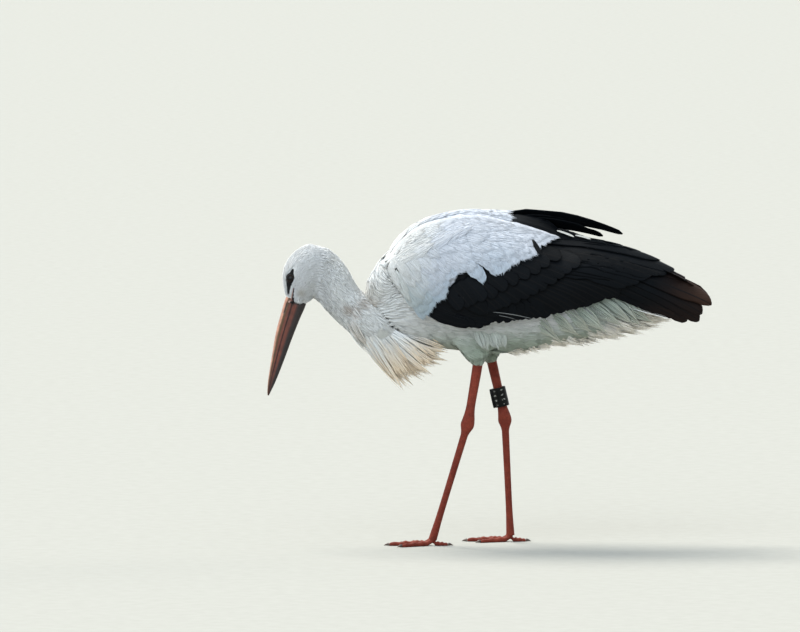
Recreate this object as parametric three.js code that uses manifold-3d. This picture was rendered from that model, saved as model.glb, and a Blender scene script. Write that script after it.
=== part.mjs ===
// A white stork at life size, stooping to pick at the ground, as a still model.
// Units are millimetres, +Z is up. The bird faces -X and its left side faces -Y.
// The origin lies on the floor under the middle of the bird's bounds.

import * as THREE from "three";
import { mergeVertices } from "three/addons/utils/BufferGeometryUtils.js";
import Module from "manifold-3d";

const wasm = await Module();
wasm.setup();

// ---------------------------------------------------------------- sizes

const GAP = 0.3; // clearance kept between touching nodes
const BEYOND = 1600; // side of the blocks that cut the bird, larger than the bird itself

// Torso, front to back: [x, top, bottom, half width].
const TORSO = [
  [-222, 446, 430, 8],
  [-212, 470, 400, 28],
  [-188, 508, 371, 50],
  [-150, 545, 354, 68],
  [-100, 570, 345, 79],
  [-45, 580, 337, 84],
  [10, 580, 333, 82],
  [60, 566, 338, 74],
  [110, 540, 349, 62],
  [160, 510, 356, 48],
  [200, 482, 366, 36],
];
const TORSO_ROUNDNESS = 2.25; // exponent of the section

// Neck, head to body: [x, z, half depth, half width] of the sections' centres.
const NECK = [
  [-322, 493, 38, 26],
  [-307, 484, 42, 29],
  [-293, 472, 43, 31],
  [-280, 457, 41, 32],
  [-267, 440, 37, 32],
  [-253, 423, 35, 33],
  [-236, 409, 37, 36],
  [-213, 396, 41, 42],
  [-188, 384, 42, 45],
  [-163, 376, 32, 38],
];
const HEAD_CUT = { x: -299, z: 480, lean: 12 }; // plane between head and neck
const NECK_CUT = { x: -243, z: 418, lean: 42 }; // plane between the neck's two lengths

// Head frame: origin in the middle of the bill's base, bill towards the ground.
const BILL_BASE = [-338.6, 428.8];
const BILL_LEAN = 17; // degrees that the bill leans forward of straight down
const HEAD_ROLL = 18; // degrees that the crown is turned away from the left side
// Head, from the crown to the bill: [distance along the bill, crown, chin, half width].
const HEAD = [
  [-102, 1, -24, 9],
  [-97, 11, -36, 17],
  [-86, 23, -46, 24],
  [-70, 33, -50, 28],
  [-50, 38.6, -46, 28.5],
  [-30, 36.6, -37, 25],
  [-12, 28, -27, 20],
  [0, 21.2, -21, 16],
  [7, 17, -15, 11],
];
// Bill: [distance from the base, culmen, mouth line, keel, half width at the mouth line].
const BILL = [
  [-8, 17, 1.5, -15, 10],
  [4, 19.6, 1.8, -18, 12],
  [30, 19.6, 2.2, -15.2, 10.6],
  [66, 18.4, 2.6, -12.2, 8.8],
  [108, 12.9, 2.0, -9.7, 6.6],
  [148, 7.0, 0.6, -6.4, 4.2],
  [169, 2.2, -0.8, -3.2, 2.2],
  [175.5, -0.2, -1.4, -2.0, 1.0],
];
const BILL_ARCH = 0.85; // exponent of the arch; a smaller one makes it fuller
const MOUTH_GAP = 0.5;
const NOSTRIL = { from: 12, to: 30, level: 12.5, slit: 1.5, inner: 5, outer: 17 };
const EYE = { along: -33, level: 15.5, side: 15.6, radius: 9.2, back: 2 };
const LID = { radius: 7.6, wire: 1.5, out: 5.4 };

// Folded wing, seen from the side: [x, lower edge, left wing's upper edge, right wing's
// upper edge, half width of the sheet at the lower edge, half way up and at the top].
const WING = [
  [-186, 470, 505, 505, 54, 56, 50],
  [-160, 434, 538, 538, 76, 80, 52],
  [-122, 402, 566, 566, 86, 93, 54],
  [-78, 386, 580, 580, 90, 100, 49],
  [-30, 380, 587, 587, 91, 103, 43],
  [20, 388, 589, 590, 89, 102, 35],
  [80, 394, 564, 583, 82, 96, 24],
  [125, 404, 542, 576, 72, 86, 17],
  [170, 414, 538, 562, 60, 74, 13],
  [225, 420, 526, 536, 47, 60, 10],
  [280, 404, 506, 502, 37, 47, 8],
  [330, 394, 479, 476, 28, 36, 6],
  [372, 400, 450, 448, 22, 27, 5],
  [389, 420, 436, 434, 19, 21, 6],
];
const WING_EDGES = [-0.3, 1.15]; // how far the sheet's curve runs on past its edges
// Lower rear limit of the white coverts, from the back down to the wing's front edge.
const WHITE_EDGE = [
  [24, 600],
  [88, 548],
  [58, 520],
  [0, 492],
  [-40, 492],
  [-88, 488],
  [-98, 440],
  [-112, 420],
  [-120, 396],
];

// Tiers of wing feathers, seen from the side. Roots and tips are [x, z] along two curves,
// from the tier's top to its bottom. Rise is the height over the sheet at root and tip,
// and tilt lifts the lower edge of each feather over the next one down.
const WHITE_TIERS = [
  {
    count: 6, width: 42, thick: [4, 1.2], rise: [-7, 2.4], tilt: 0.09,
    roots: [[26, 566], [-14, 530], [-70, 492]],
    tips: [[119, 541], [84, 506], [38, 480], [-6, 459]],
  },
  {
    count: 4, width: 48, thick: [4, 1.4], rise: [-6, 4.4], tilt: 0.09,
    roots: [[-56, 568], [-100, 544], [-130, 510]],
    tips: [[50, 560], [16, 524], [-44, 490]],
  },
  {
    count: 5, width: 38, thick: [4, 1.2], rise: [-7, 2.6], tilt: 0.09,
    roots: [[-96, 498], [-128, 472], [-152, 438]],
    tips: [[-26, 464], [-58, 470], [-76, 438], [-98, 406]],
  },
];
const BLACK_TIERS = {
  primaries: {
    count: 6, width: 30, thick: [3, 1.3], rise: [-7, -1.4], tilt: 0.1,
    roots: [[244, 498], [236, 468], [208, 438]],
    tips: [[344, 472], [372, 452], [389, 430], [366, 396], [324, 398]],
  },
  secondaries: {
    count: 5, width: 46, thick: [3, 1.3], rise: [-7, -0.6], tilt: 0.09,
    roots: [[134, 474], [60, 442], [-28, 414]],
    tips: [[224, 436], [160, 418], [86, 402], [14, 402]],
  },
  tertials: {
    count: 4, width: 46, thick: [3, 1.4], rise: [-6.5, 0.4], tilt: 0.08,
    roots: [[96, 534], [80, 508], [100, 482]],
    tips: [[266, 504], [262, 474], [238, 450]],
  },
  greater_coverts: {
    count: 5, width: 44, thick: [4, 1.3], rise: [-7, 1.2], tilt: 0.08,
    roots: [[76, 510], [-8, 466], [-72, 440]],
    tips: [[156, 490], [92, 446], [24, 416], [-8, 404]],
  },
  primary_coverts: {
    count: 3, width: 28, thick: [4, 1.3], rise: [-6, 0.6], tilt: 0.08,
    roots: [[-76, 430], [-96, 418], [-110, 408]],
    tips: [[-14, 394], [-40, 386], [-66, 388]],
  },
};
const RIGHT_TERTIALS = {
  roots: [[84, 562], [96, 536], [110, 500]],
  tips: [[230, 542], [198, 550], [262, 498], [240, 456]],
};

// Tail feathers, from the middle pair out: length of the fan and how it spreads and drops.
const RECTRICES = {
  count: 12, width: 22, thick: [1.4, 1.1], root: [156, 452], tip: [324, 408],
  rootSpread: 16, tipSpread: 31, layer: 1.9, shorten: 12,
};
// Long soft feathers under the tail: [x, z] of roots and tips, and the spread across.
const UNDERTAIL = {
  count: 4, rows: [-0.9, 0, 0.9], width: 38, thick: [4, 1],
  roots: [[152, 372], [192, 382], [230, 396]],
  tips: [[212, 352], [262, 364], [316, 388]],
  spread: [30, 20], narrowed: 0.4, lift: [14, 7], outwards: 0.75,
};
// Long plumes of the lower foreneck, in rows across: [x, z] of the middle root and tip.
// Edge is the outer plumes' angle round the neck, where roots and tips rise by their lifts.
const PLUMES = {
  width: 32, thick: [4, 0.9], edge: 74, facing: [-0.55, -0.83], sag: 8, layer: 4.5,
  rootSpread: 34, tipSpread: 26, rowSpread: 5, rootLift: [22, 30], tipLift: 26,
  varied: 0.1, stray: 8,
  rows: [
    { count: 4, root: [-236, 384], tip: [-152, 274] },
    { count: 5, root: [-216, 368], tip: [-122, 290] },
    { count: 4, root: [-196, 356], tip: [-82, 312] },
  ],
};

// Legs, in the side view: [x, z] of the joints' centres, and y of the leg.
const LEGS = {
  left: { y: -38, hip: [-30, 400], knee: [-22, 322], ankle: [-39, 216], foot: [-101, 11] },
  right: { y: 38, hip: [-14, 400], knee: [2, 322], ankle: [26, 218], foot: [36, 11] },
};
// Feathered thigh: [share of the way from hip to knee, half depth, half width].
const THIGH = [
  [0, 40, 24],
  [0.45, 38, 25],
  [0.8, 25, 18],
  [1, 13, 12],
  [1.12, 7, 7],
];
// Bare leg: [distance along it, half depth, half width]. Shin and tarsus are measured away
// from the ankle's middle, in heights of the ankle.
const ANKLE_HEIGHT = 19;
const LEG_TOP = { share: 0.35, depth: 8, width: 6.6 }; // inside the thigh, above the knee
const KNEE = { depth: 9, width: 7.2 };
const SHIN = [[2, 8, 6.6], [1, 8.8, 7], [0.3, 10.8, 8.6]];
const TARSUS = [[0.3, 12, 8], [1, 7.4, 6], [2, 6.4, 5.2], [8, 6, 5.2]];
const FOOT = { depth: 7.6, width: 7.2, cut: 22 }; // cut is the level where foot and tarsus meet
// Toes: degrees turned out from straight ahead, length and half thickness.
const TOES = {
  inner: { turn: -24, length: 58, thick: 4.6 },
  middle: { turn: 2, length: 76, thick: 5 },
  outer: { turn: 30, length: 62, thick: 4.6 },
  hind: { turn: 176, length: 27, thick: 4.2 },
};
// A toe's joints: [share of its length, share of its half thickness].
const KNUCKLES = [[0, 1.25], [0.26, 0.94], [0.36, 1.1], [0.5, 0.82], [0.62, 1], [0.76, 0.72], [1, 0.58]];
const INSTEP = { height: 11, share: 0.28 }; // how toes rise to the leg over their first part
const SOLE = 0.8; // how far a toe's flat sole cuts into its round section
// Claw: sections at shares of its length, levels of root and tip, share of its thickness at
// the point, and the exponents by which it thins and drops.
const CLAW = {
  sections: [0, 0.45, 1], length: 9, depth: 2.6, width: 2.4, root: 2.8, tip: 0.7, point: 0.12,
  thins: 1.6, drops: 1.5,
};
// Leg ring: its middle lies up the leg from the ankle, and slack is its play on the leg.
const RING = {
  inner: 10.2, outer: 12.2, height: 34, up: 38, flange: 4.5, flangeThick: 3, slack: 0.98,
};

// ---------------------------------------------------------------- materials

const finish = (color, roughness, metalness = 0) =>
  new THREE.MeshStandardMaterial({ color, roughness, metalness });
const WHITE = finish(0xe9e6df, 0.85);
const BLACK = finish(0x17161a, 0.55);
const BILL_RED = finish(0x8f3a2c, 0.45);
const LEG_RED = finish(0x96412f, 0.6);
const EYE_BROWN = finish(0x120c09, 0.08);
const CLAW_HORN = finish(0x3a2622, 0.4);
const RING_BLACK = finish(0x0e0f12, 0.35);

// ---------------------------------------------------------------- tools for solids

const V = (x, y, z) => new THREE.Vector3(x, y, z);
const ACROSS = V(0, 1, 0);
const UP = V(0, 0, 1);
const rad = THREE.MathUtils.degToRad;
const { lerp, clamp } = THREE.MathUtils;

// A smooth curve through rows [t, a, b, ...], as a function of t.
function through(rows) {
  return (t) => {
    const next = rows.findIndex((row) => row[0] > t);
    if (next === 0) return rows[0].slice(1);
    if (next < 0) return rows.at(-1).slice(1);
    const [p, q] = [rows[next - 1], rows[next]];
    const before = rows[next - 2] ?? p;
    const after = rows[next + 1] ?? q;
    const span = q[0] - p[0];
    const s = (t - p[0]) / span;
    const column = (k) => {
      const leave = ((q[k] - before[k]) / (q[0] - before[0])) * span;
      const arrive = ((after[k] - p[k]) / (after[0] - p[0])) * span;
      const back = 1 - s;
      return (
        (p[k] * (1 + 2 * s) + leave * s) * back * back +
        (q[k] * (3 - 2 * s) - arrive * back) * s * s
      );
    };
    return p.slice(1).map((_, i) => column(i + 1));
  };
}

// A closed solid from a geometry, turned outside in if its faces point inwards.
function solid(geometry) {
  const bare = geometry.clone();
  for (const name of Object.keys(bare.attributes)) {
    if (name !== "position") bare.deleteAttribute(name);
  }
  const merged = mergeVertices(bare, 1e-4);
  const vertProperties = merged.attributes.position.array;
  const triVerts = new Uint32Array(merged.index.array);
  const make = () => new wasm.Manifold(new wasm.Mesh({ numProp: 3, vertProperties, triVerts }));
  const made = make();
  if (made.volume() >= 0) return made;
  for (let i = 0; i < triVerts.length; i += 3) {
    [triVerts[i], triVerts[i + 1]] = [triVerts[i + 1], triVerts[i]];
  }
  return make();
}

function meshOf(points, faces) {
  const geometry = new THREE.BufferGeometry().setFromPoints(points);
  geometry.setIndex(faces);
  return solid(geometry);
}

// Rings of points, each in order round its section, joined into one closed solid.
function loft(rings) {
  const count = rings[0].length;
  const points = rings.flat();
  const faces = [];
  for (let r = 0; r + 1 < rings.length; r++) {
    for (let i = 0; i < count; i++) {
      const [a, b] = [r * count + i, r * count + ((i + 1) % count)];
      faces.push(a, b, b + count, a, b + count, a + count);
    }
  }
  for (const ring of [0, rings.length - 1]) {
    const middle = points.length;
    points.push(rings[ring].reduce((sum, p) => sum.add(p), V(0, 0, 0)).divideScalar(count));
    for (let i = 0; i < count; i++) {
      const [a, b] = [ring * count + i, ring * count + ((i + 1) % count)];
      faces.push(...(ring === 0 ? [b, a, middle] : [a, b, middle]));
    }
  }
  return meshOf(points, faces);
}

// The solid between two grids of points of one size, both split into triangles alike.
// The rim joins their edges, walked once round.
function slab(outer, inner) {
  const [rows, columns] = [outer.length, outer[0].length];
  const points = [...outer.flat(), ...inner.flat()];
  const under = rows * columns;
  const at = (r, c) => r * columns + c;
  const faces = [];
  for (let r = 0; r + 1 < rows; r++) {
    for (let c = 0; c + 1 < columns; c++) {
      const [p, q, s, t] = [at(r, c), at(r, c + 1), at(r + 1, c + 1), at(r + 1, c)];
      faces.push(p, q, s, p, s, t);
      faces.push(q + under, p + under, s + under, s + under, p + under, t + under);
    }
  }
  const rim = [];
  for (let c = 0; c + 1 < columns; c++) {
    rim.push([at(0, c + 1), at(0, c)], [at(rows - 1, c), at(rows - 1, c + 1)]);
  }
  for (let r = 0; r + 1 < rows; r++) {
    rim.push([at(r, 0), at(r + 1, 0)], [at(r + 1, columns - 1), at(r, columns - 1)]);
  }
  for (const [p, q] of rim) faces.push(p, q, q + under, p, q + under, p + under);
  return meshOf(points, faces);
}

// Points round a section that has its own reach up and down from the centre.
function section(centre, across, up, half, above, below, roundness, count) {
  const power = 2 / roundness;
  const ring = [];
  for (let i = 0; i < count; i++) {
    const angle = (2 * Math.PI * (i + 0.5)) / count;
    const [c, s] = [Math.cos(angle), Math.sin(angle)];
    const side = Math.sign(c) * Math.abs(c) ** power * half;
    const rise = Math.sign(s) * Math.abs(s) ** power * (s > 0 ? above : below);
    ring.push(centre.clone().addScaledVector(across, side).addScaledVector(up, rise));
  }
  return ring;
}

const moved = (geometry, ...steps) =>
  solid(steps.reduce((shape, step) => shape.applyMatrix4(step), geometry.clone()));
const shift = (x, y, z) => new THREE.Matrix4().makeTranslation(x, y, z);
const turn = (axis, degrees) => new THREE.Matrix4().makeRotationAxis(axis, rad(degrees));

// Repeatable draws between -1 and 1, for the differences between like feathers.
let draw = 7;
function pick() {
  draw = (draw * 16807) % 2147483647;
  return (2 * draw) / 2147483647 - 1;
}
const join = (parts) => parts.reduce((sum, part) => sum.add(part));

// The largest closed surface, which drops loose scraps.
const largest = (body) => body.decompose().sort((a, b) => b.volume() - a.volume())[0];

// All space on the +X side (facing 1) or -X side (-1) of a plane through [x, z], which
// leans back by degrees from upright.
function halfSpace({ x, z, lean }, facing) {
  const block = new THREE.BoxGeometry(BEYOND, BEYOND, BEYOND);
  const aside = shift((facing * (BEYOND + GAP)) / 2, 0, 0);
  return moved(block, aside, turn(ACROSS, lean), shift(x, 0, z));
}

// A bent round bar through sections [x, z, half depth, half width] that stand across it.
function bar(sections, y, { grow = 0, sides = 14, steps = 1, roundness = 2 } = {}) {
  const at = through(sections.map((row, i) => [i, ...row]));
  const last = (sections.length - 1) * steps;
  const rings = [];
  for (let i = 0; i <= last; i++) {
    const t = i / steps;
    const [x, z, depth, half] = at(t);
    const [x0, z0] = at(Math.max(t - 0.2, 0));
    const [x1, z1] = at(Math.min(t + 0.2, sections.length - 1));
    const along = V(x1 - x0, 0, z1 - z0).normalize();
    const up = V(-along.z, 0, along.x);
    const end = i === 0 ? -grow : i === last ? grow : 0;
    const centre = V(x, y, z).addScaledVector(along, end);
    const reach = depth + grow;
    rings.push(section(centre, ACROSS, up, half + grow, reach, reach, roundness, sides));
  }
  return loft(rings);
}

const WEDGE = 0.7; // share of a feather over which it thins from its sunk root
const STRETCH = 0.01; // share of its length by which a feather grows at each end for 1 mm

// A feather's blade. at(s, aside, height) is a point over the surface that it follows, for
// s from root to tip. Form is [s, share of the width], and rise and thick go from root to tip.
function blade(at, { width, thick, rise, tilt = 0 }, form, grow = 0) {
  const faces = [];
  const points = form.flatMap(([s, share], i) => {
    const half = (width * share) / 2 + grow;
    const top = lerp(rise[0], rise[1], s) + grow;
    const under = top - lerp(thick[0], thick[1], Math.min(1, s / WEDGE)) - 2 * grow;
    const lean = tilt * half;
    const end = STRETCH * (i === 0 ? -grow : i === form.length - 1 ? grow : 0);
    return [
      at(s + end, -half, top - lean),
      at(s + end, half, top + lean),
      at(s + end, half, under + lean),
      at(s + end, -half, under - lean),
    ];
  });
  for (let r = 0; r + 1 < form.length; r++) {
    const [a, b, c, d] = [0, 1, 2, 3].map((corner) => r * 4 + corner);
    faces.push(a, b, b + 4, a, b + 4, a + 4, b, c, c + 4, b, c + 4, b + 4);
    faces.push(d, c + 4, c, d, d + 4, c + 4, d, a, a + 4, d, a + 4, d + 4);
  }
  const end = (form.length - 1) * 4;
  faces.push(0, 3, 2, 0, 2, 1, end, end + 1, end + 2, end, end + 2, end + 3);
  return meshOf(points, faces);
}

const ROUND = [[0, 0.66], [0.8, 1], [1, 0.46]];
const LONG = [[0, 0.62], [0.84, 1], [1, 0.4]];
const POINTED = [[0, 0.8], [0.45, 1], [0.8, 0.66], [1, 0.12]];

// A smooth curve through evenly spaced [x, z] points, for t from 0 to 1.
function curve(points) {
  const at = through(points.map((point, i) => [i / (points.length - 1), ...point]));
  return (t) => at(Math.min(t, 0.9999));
}

// ---------------------------------------------------------------- torso and neck

function torsoBody(grow = 0, sides = 18) {
  const rings = TORSO.map(([x, top, bottom, half], i) => {
    const end = i === 0 ? -grow : i === TORSO.length - 1 ? grow : 0;
    const reach = (top - bottom) / 2 + grow;
    const centre = V(x + end, 0, (top + bottom) / 2);
    return section(centre, ACROSS, UP, half + grow, reach, reach, TORSO_ROUNDNESS, sides);
  });
  return loft(rings);
}

const neckBody = (grow = 0) => bar(NECK, 0, { grow, sides: 18, steps: 2 });

// The long plumes, fanned across the lower foreneck and hanging clear of the belly.
function plumes() {
  const { facing, rootSpread, tipSpread, rowSpread, rootLift, tipLift, stray } = PLUMES;
  const locks = [];
  PLUMES.rows.forEach(({ count, root, tip }, row) => {
    for (let i = 0; i < count; i++) {
      const across = (2 * i) / (count - 1) - 1;
      const angle = rad(across * PLUMES.edge);
      const [c, s] = [Math.cos(angle), Math.sin(angle)];
      const outwards = V(facing[0] * c, s, facing[1] * c).normalize();
      const [rootX, rootZ] = rootLift.map((lift) => lift * (1 - c));
      const from = V(root[0] + rootX, rootSpread * s, root[1] + rootZ);
      const tipY = (tipSpread + rowSpread * row) * s;
      const to = V(tip[0] + stray * pick(), tipY, tip[1] + tipLift * (1 - c) + stray * pick());
      const along = to.clone().sub(from);
      const sideways = along.clone().normalize().cross(outwards).normalize();
      const at = (t, aside, height) =>
        from
          .clone()
          .addScaledVector(along, t)
          .addScaledVector(outwards, height + PLUMES.sag * 4 * t * (1 - t))
          .addScaledVector(sideways, aside);
      const over = i % 2 === 0 ? 0 : PLUMES.layer; // every other lock lies over its neighbours
      const width = PLUMES.width * (1 + PLUMES.varied * pick());
      const shape = { width, thick: PLUMES.thick, rise: [over - 1, over] };
      locks.push(blade(at, shape, POINTED));
    }
  });
  return locks;
}

// ---------------------------------------------------------------- head and bill

// A point in the head's frame: along the bill, towards the crown, to the bird's right.
const BILL_AXIS = V(-Math.sin(rad(BILL_LEAN)), 0, -Math.cos(rad(BILL_LEAN)));
const CROWN_FLAT = V(-Math.cos(rad(BILL_LEAN)), 0, Math.sin(rad(BILL_LEAN)));
const roll = rad(HEAD_ROLL);
const CROWN = CROWN_FLAT.clone().multiplyScalar(Math.cos(roll)).addScaledVector(ACROSS, Math.sin(roll));
const RIGHT = ACROSS.clone().multiplyScalar(Math.cos(roll)).addScaledVector(CROWN_FLAT, -Math.sin(roll));
const headPoint = (along, level, side) =>
  V(BILL_BASE[0], 0, BILL_BASE[1])
    .addScaledVector(BILL_AXIS, along)
    .addScaledVector(CROWN, level)
    .addScaledVector(RIGHT, side);

// A loft along the bill's axis of rows [along, upper, lower, half width].
function headLoft(rows, { grow = 0, sides = 20, steps = 2, roundness = 2 } = {}) {
  const at = through(rows);
  const rings = [];
  const last = (rows.length - 1) * steps;
  for (let i = 0; i <= last; i++) {
    const row = Math.min(Math.floor(i / steps), rows.length - 2);
    const along = lerp(rows[row][0], rows[row + 1][0], i / steps - row);
    const [upper, lower, half] = at(along);
    const reach = (upper - lower) / 2 + grow;
    const end = i === 0 ? -grow : i === last ? grow : 0;
    const centre = headPoint(along + end, (upper + lower) / 2, 0);
    rings.push(section(centre, RIGHT, CROWN, half + grow, reach, reach, roundness, sides));
  }
  return loft(rings);
}

const headBody = (grow = 0) => headLoft(HEAD, { grow });

// Half of the bill: flat along the mouth line and arched to the culmen or the keel.
function mandible(upper, grow = 0) {
  const arch = 9; // facets from one edge over to the other
  const at = through(BILL);
  const stops = BILL.flatMap((row, i) => (i === 0 ? row[0] : [(row[0] + BILL[i - 1][0]) / 2, row[0]]));
  const sign = upper ? 1 : -1;
  const rings = stops.map((along, stop) => {
    const [culmen, mouth, keel, half] = at(along);
    const edge = mouth + sign * (MOUTH_GAP / 2 - grow);
    const reach = Math.abs((upper ? culmen : keel) - mouth) + grow;
    const end = stop === 0 ? -grow : stop === stops.length - 1 ? grow : 0;
    const ring = [];
    for (let i = 0; i <= arch; i++) {
      const angle = (Math.PI * i) / arch;
      const side = Math.cos(angle) * (half + grow);
      const rise = i % arch === 0 ? 0 : Math.sin(angle) ** BILL_ARCH * (reach + grow);
      ring.push(headPoint(along + end, edge + sign * rise, side));
    }
    return ring;
  });
  return loft(rings);
}

const eyeCentre = (side) => headPoint(EYE.along, EYE.level, side * EYE.side);

// The front of an eyeball, cut off flat behind, or the hole that it sits in.
function eyeball(side, grow = 0) {
  const centre = eyeCentre(side);
  const facing = new THREE.Matrix4().makeBasis(
    BILL_AXIS.clone().multiplyScalar(side),
    RIGHT.clone().multiplyScalar(side),
    CROWN,
  );
  const place = [facing, shift(centre.x, centre.y, centre.z)];
  const ball = new THREE.SphereGeometry(EYE.radius + grow, 12, 8);
  const size = 4 * EYE.radius;
  const front = new THREE.BoxGeometry(size, size, size).translate(0, size / 2 + EYE.back - grow, 0);
  return moved(ball, ...place).intersect(moved(front, ...place));
}

function lid(side) {
  const outwards = RIGHT.clone().multiplyScalar(side);
  const centre = eyeCentre(side).addScaledVector(outwards, LID.out);
  const up = CROWN.clone().multiplyScalar(side);
  const facing = new THREE.Matrix4().makeBasis(BILL_AXIS, up, outwards);
  const rim = new THREE.TorusGeometry(LID.radius, LID.wire, 4, 12);
  return moved(rim, facing, shift(centre.x, centre.y, centre.z));
}

function nostril(side) {
  const { from, to, level, slit, inner, outer } = NOSTRIL;
  const rings = [0, 0.5, 1].map((share) => {
    const high = share === 0.5 ? slit : slit / 2;
    const centre = headPoint(lerp(from, to, share), level, (side * (inner + outer)) / 2);
    return section(centre, RIGHT, CROWN, (outer - inner) / 2, high, high, 4, 8);
  });
  return loft(rings);
}

// ---------------------------------------------------------------- wings

const wingAt = through(WING);

// A point on the folded wing's sheet, by its place in the side view.
function sheetPoint(side, x, z) {
  const [low, topLeft, topRight, halfLow, halfMid, halfTop] = wingAt(clamp(x, WING[0][0], WING.at(-1)[0]));
  const top = side < 0 ? topLeft : topRight;
  const u = (z - low) / (top - low);
  const bend = 2 * (halfLow + halfTop - 2 * halfMid);
  const slope = halfTop - halfLow - bend;
  const steady = clamp(u, ...WING_EDGES);
  return V(x, side * (halfLow + slope * steady + bend * steady * steady), z);
}

// The same point, raised outwards from the sheet by height.
function onSheet(side, x, z, height) {
  const step = 4; // spacing of the samples that give the sheet's slope
  const along = sheetPoint(side, x + step, z).sub(sheetPoint(side, x - step, z));
  const rise = sheetPoint(side, x, z + step).sub(sheetPoint(side, x, z - step));
  const normal = along.cross(rise).normalize();
  if (normal.y * side < 0) normal.negate();
  return sheetPoint(side, x, z).addScaledVector(normal, height);
}

// The inside of a wing, which the feathers' roots sink into: its thickness before and
// behind thinFrom, and its inset from the wing's edges, which grows over a length.
const CORE = {
  sunk: 5, front: 30, rear: 6, thinFrom: 120, columns: 5, end: 300,
  inset: 9, insetFrom: -60, insetOver: 80,
};

function wingCore(side) {
  const stops = WING.map((row) => row[0]).filter((x) => x < CORE.end);
  const grid = (height) =>
    stops.map((x) => {
      const [low, topLeft, topRight] = wingAt(x);
      const top = side < 0 ? topLeft : topRight;
      const inset = CORE.inset * clamp((x - CORE.insetFrom) / CORE.insetOver, 0, 1);
      const row = [];
      for (let c = 0; c < CORE.columns; c++) {
        const upper = top - inset * clamp(x / CORE.insetOver, 0, 1);
        const z = lerp(low + inset, upper, c / (CORE.columns - 1));
        row.push(onSheet(side, x, z, height(x)));
      }
      return row;
    });
  const thick = (x) => (x < CORE.thinFrom ? CORE.front : CORE.rear);
  return slab(grid(() => -CORE.sunk), grid((x) => -CORE.sunk - thick(x)));
}

// The feathers of one tier, laid along the wing's sheet.
function tier(side, shape, form, grow = 0) {
  const [rootAt, tipAt] = [curve(shape.roots), curve(shape.tips)];
  const vanes = [];
  for (let i = 0; i < shape.count; i++) {
    const t = i / (shape.count - 1);
    const [root, tip] = [rootAt(t), tipAt(t)];
    const [dx, dz] = [tip[0] - root[0], tip[1] - root[1]];
    const length = Math.hypot(dx, dz);
    const at = (s, aside, height) => {
      const x = root[0] + dx * s + (aside * dz) / length;
      const z = root[1] + dz * s - (aside * dx) / length;
      return onSheet(side, x, z, height);
    };
    vanes.push(blade(at, shape, form, grow));
  }
  return vanes;
}

// The white part of the side view, as a wall right through one wing.
function whiteWall(side, grow = 0) {
  const front = -240;
  const outline = [...WHITE_EDGE, [front, WHITE_EDGE.at(-1)[1]], [front, WHITE_EDGE[0][1]]];
  const moving = outline.map(([x, z], i) => {
    const [x0, z0] = outline.at(i - 1);
    const [x1, z1] = outline[(i + 1) % outline.length];
    const out = new THREE.Vector2(z0 - z1, x1 - x0).normalize();
    return new THREE.Vector2(x, z).addScaledVector(out, Math.SQRT2 * grow);
  });
  const depth = 160;
  const wall = new THREE.ExtrudeGeometry(new THREE.Shape(moving), { depth, bevelEnabled: false });
  return moved(wall, turn(V(1, 0, 0), 90), shift(0, side < 0 ? 0 : depth, 0));
}

// ---------------------------------------------------------------- tail

const TAIL_CUT = { x: 150, z: 440, lean: 0 };
const TAIL = [
  [148, 436, 80, 47],
  [188, 426, 62, 40],
  [220, 414, 40, 32],
  [240, 408, 18, 26],
];

function tailFeathers(grow = 0) {
  const { count, root, tip, rootSpread, tipSpread, layer, shorten } = RECTRICES;
  const vanes = [];
  for (let i = 0; i < count; i++) {
    const k = (2 * i) / (count - 1) - 1;
    const pair = Math.abs(i - (count - 1) / 2);
    const depth = layer * (pair - (k < 0 ? 0 : 0.5)); // each lies under the next one in
    const from = V(root[0], rootSpread * k, root[1] - depth);
    const to = V(tip[0] - shorten * k * k, tipSpread * k, tip[1] - depth);
    const along = to.clone().sub(from);
    const up = ACROSS.clone().cross(along).normalize().negate();
    const at = (s, aside, height) =>
      from
        .clone()
        .addScaledVector(along, s)
        .addScaledVector(up, height)
        .addScaledVector(ACROSS, aside);
    vanes.push(blade(at, { ...RECTRICES, rise: [0, 0] }, LONG, grow));
  }
  return vanes;
}

function undertailFeathers(grow = 0) {
  const { count, rows, roots, tips, spread, narrowed, lift, outwards: slope } = UNDERTAIL;
  const [rootAt, tipAt] = [curve(roots), curve(tips)];
  const vanes = [];
  for (const k of rows) {
    for (let i = 0; i < count; i++) {
      const t = i / (count - 1);
      const [root, tip] = [rootAt(t), tipAt(t)];
      const from = V(root[0], spread[0] * k * (1 - narrowed * t), root[1] + lift[0] * k * k);
      const to = V(tip[0], spread[1] * k, tip[1] + lift[1] * k * k);
      const along = to.clone().sub(from);
      const outwards = V(0, slope * k, -1).normalize();
      const sideways = along.clone().normalize().cross(outwards).normalize();
      const at = (s, aside, height) =>
        from
          .clone()
          .addScaledVector(along, s)
          .addScaledVector(outwards, height)
          .addScaledVector(sideways, aside);
      vanes.push(blade(at, { ...UNDERTAIL, rise: [0, 0.4] }, ROUND, grow));
    }
  }
  return vanes;
}

// ---------------------------------------------------------------- legs

const way = (from, to, t) => [lerp(from[0], to[0], t), lerp(from[1], to[1], t)];

function thigh({ y, hip, knee }) {
  const sections = THIGH.map(([share, depth, half]) => [...way(hip, knee, share), depth, half]);
  return bar(sections, y, { sides: 12 });
}

// Shin, ankle and tarsus as one bar; thin cuts part it afterwards.
function leg({ y, hip, knee, ankle, foot }, grow = 0) {
  const away = (joint) => ([heights, depth, width]) => {
    const share = (heights * ANKLE_HEIGHT) / Math.abs(joint[1] - ankle[1]);
    return [...way(ankle, joint, share), depth, width];
  };
  const sections = [
    [...way(knee, hip, LEG_TOP.share), LEG_TOP.depth, LEG_TOP.width],
    [...knee, KNEE.depth, KNEE.width],
    ...SHIN.map(away(knee)),
    ...TARSUS.map(away(foot)),
    [...foot, FOOT.depth, FOOT.width],
  ];
  return bar(sections, y, { grow, sides: 12 });
}

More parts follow.
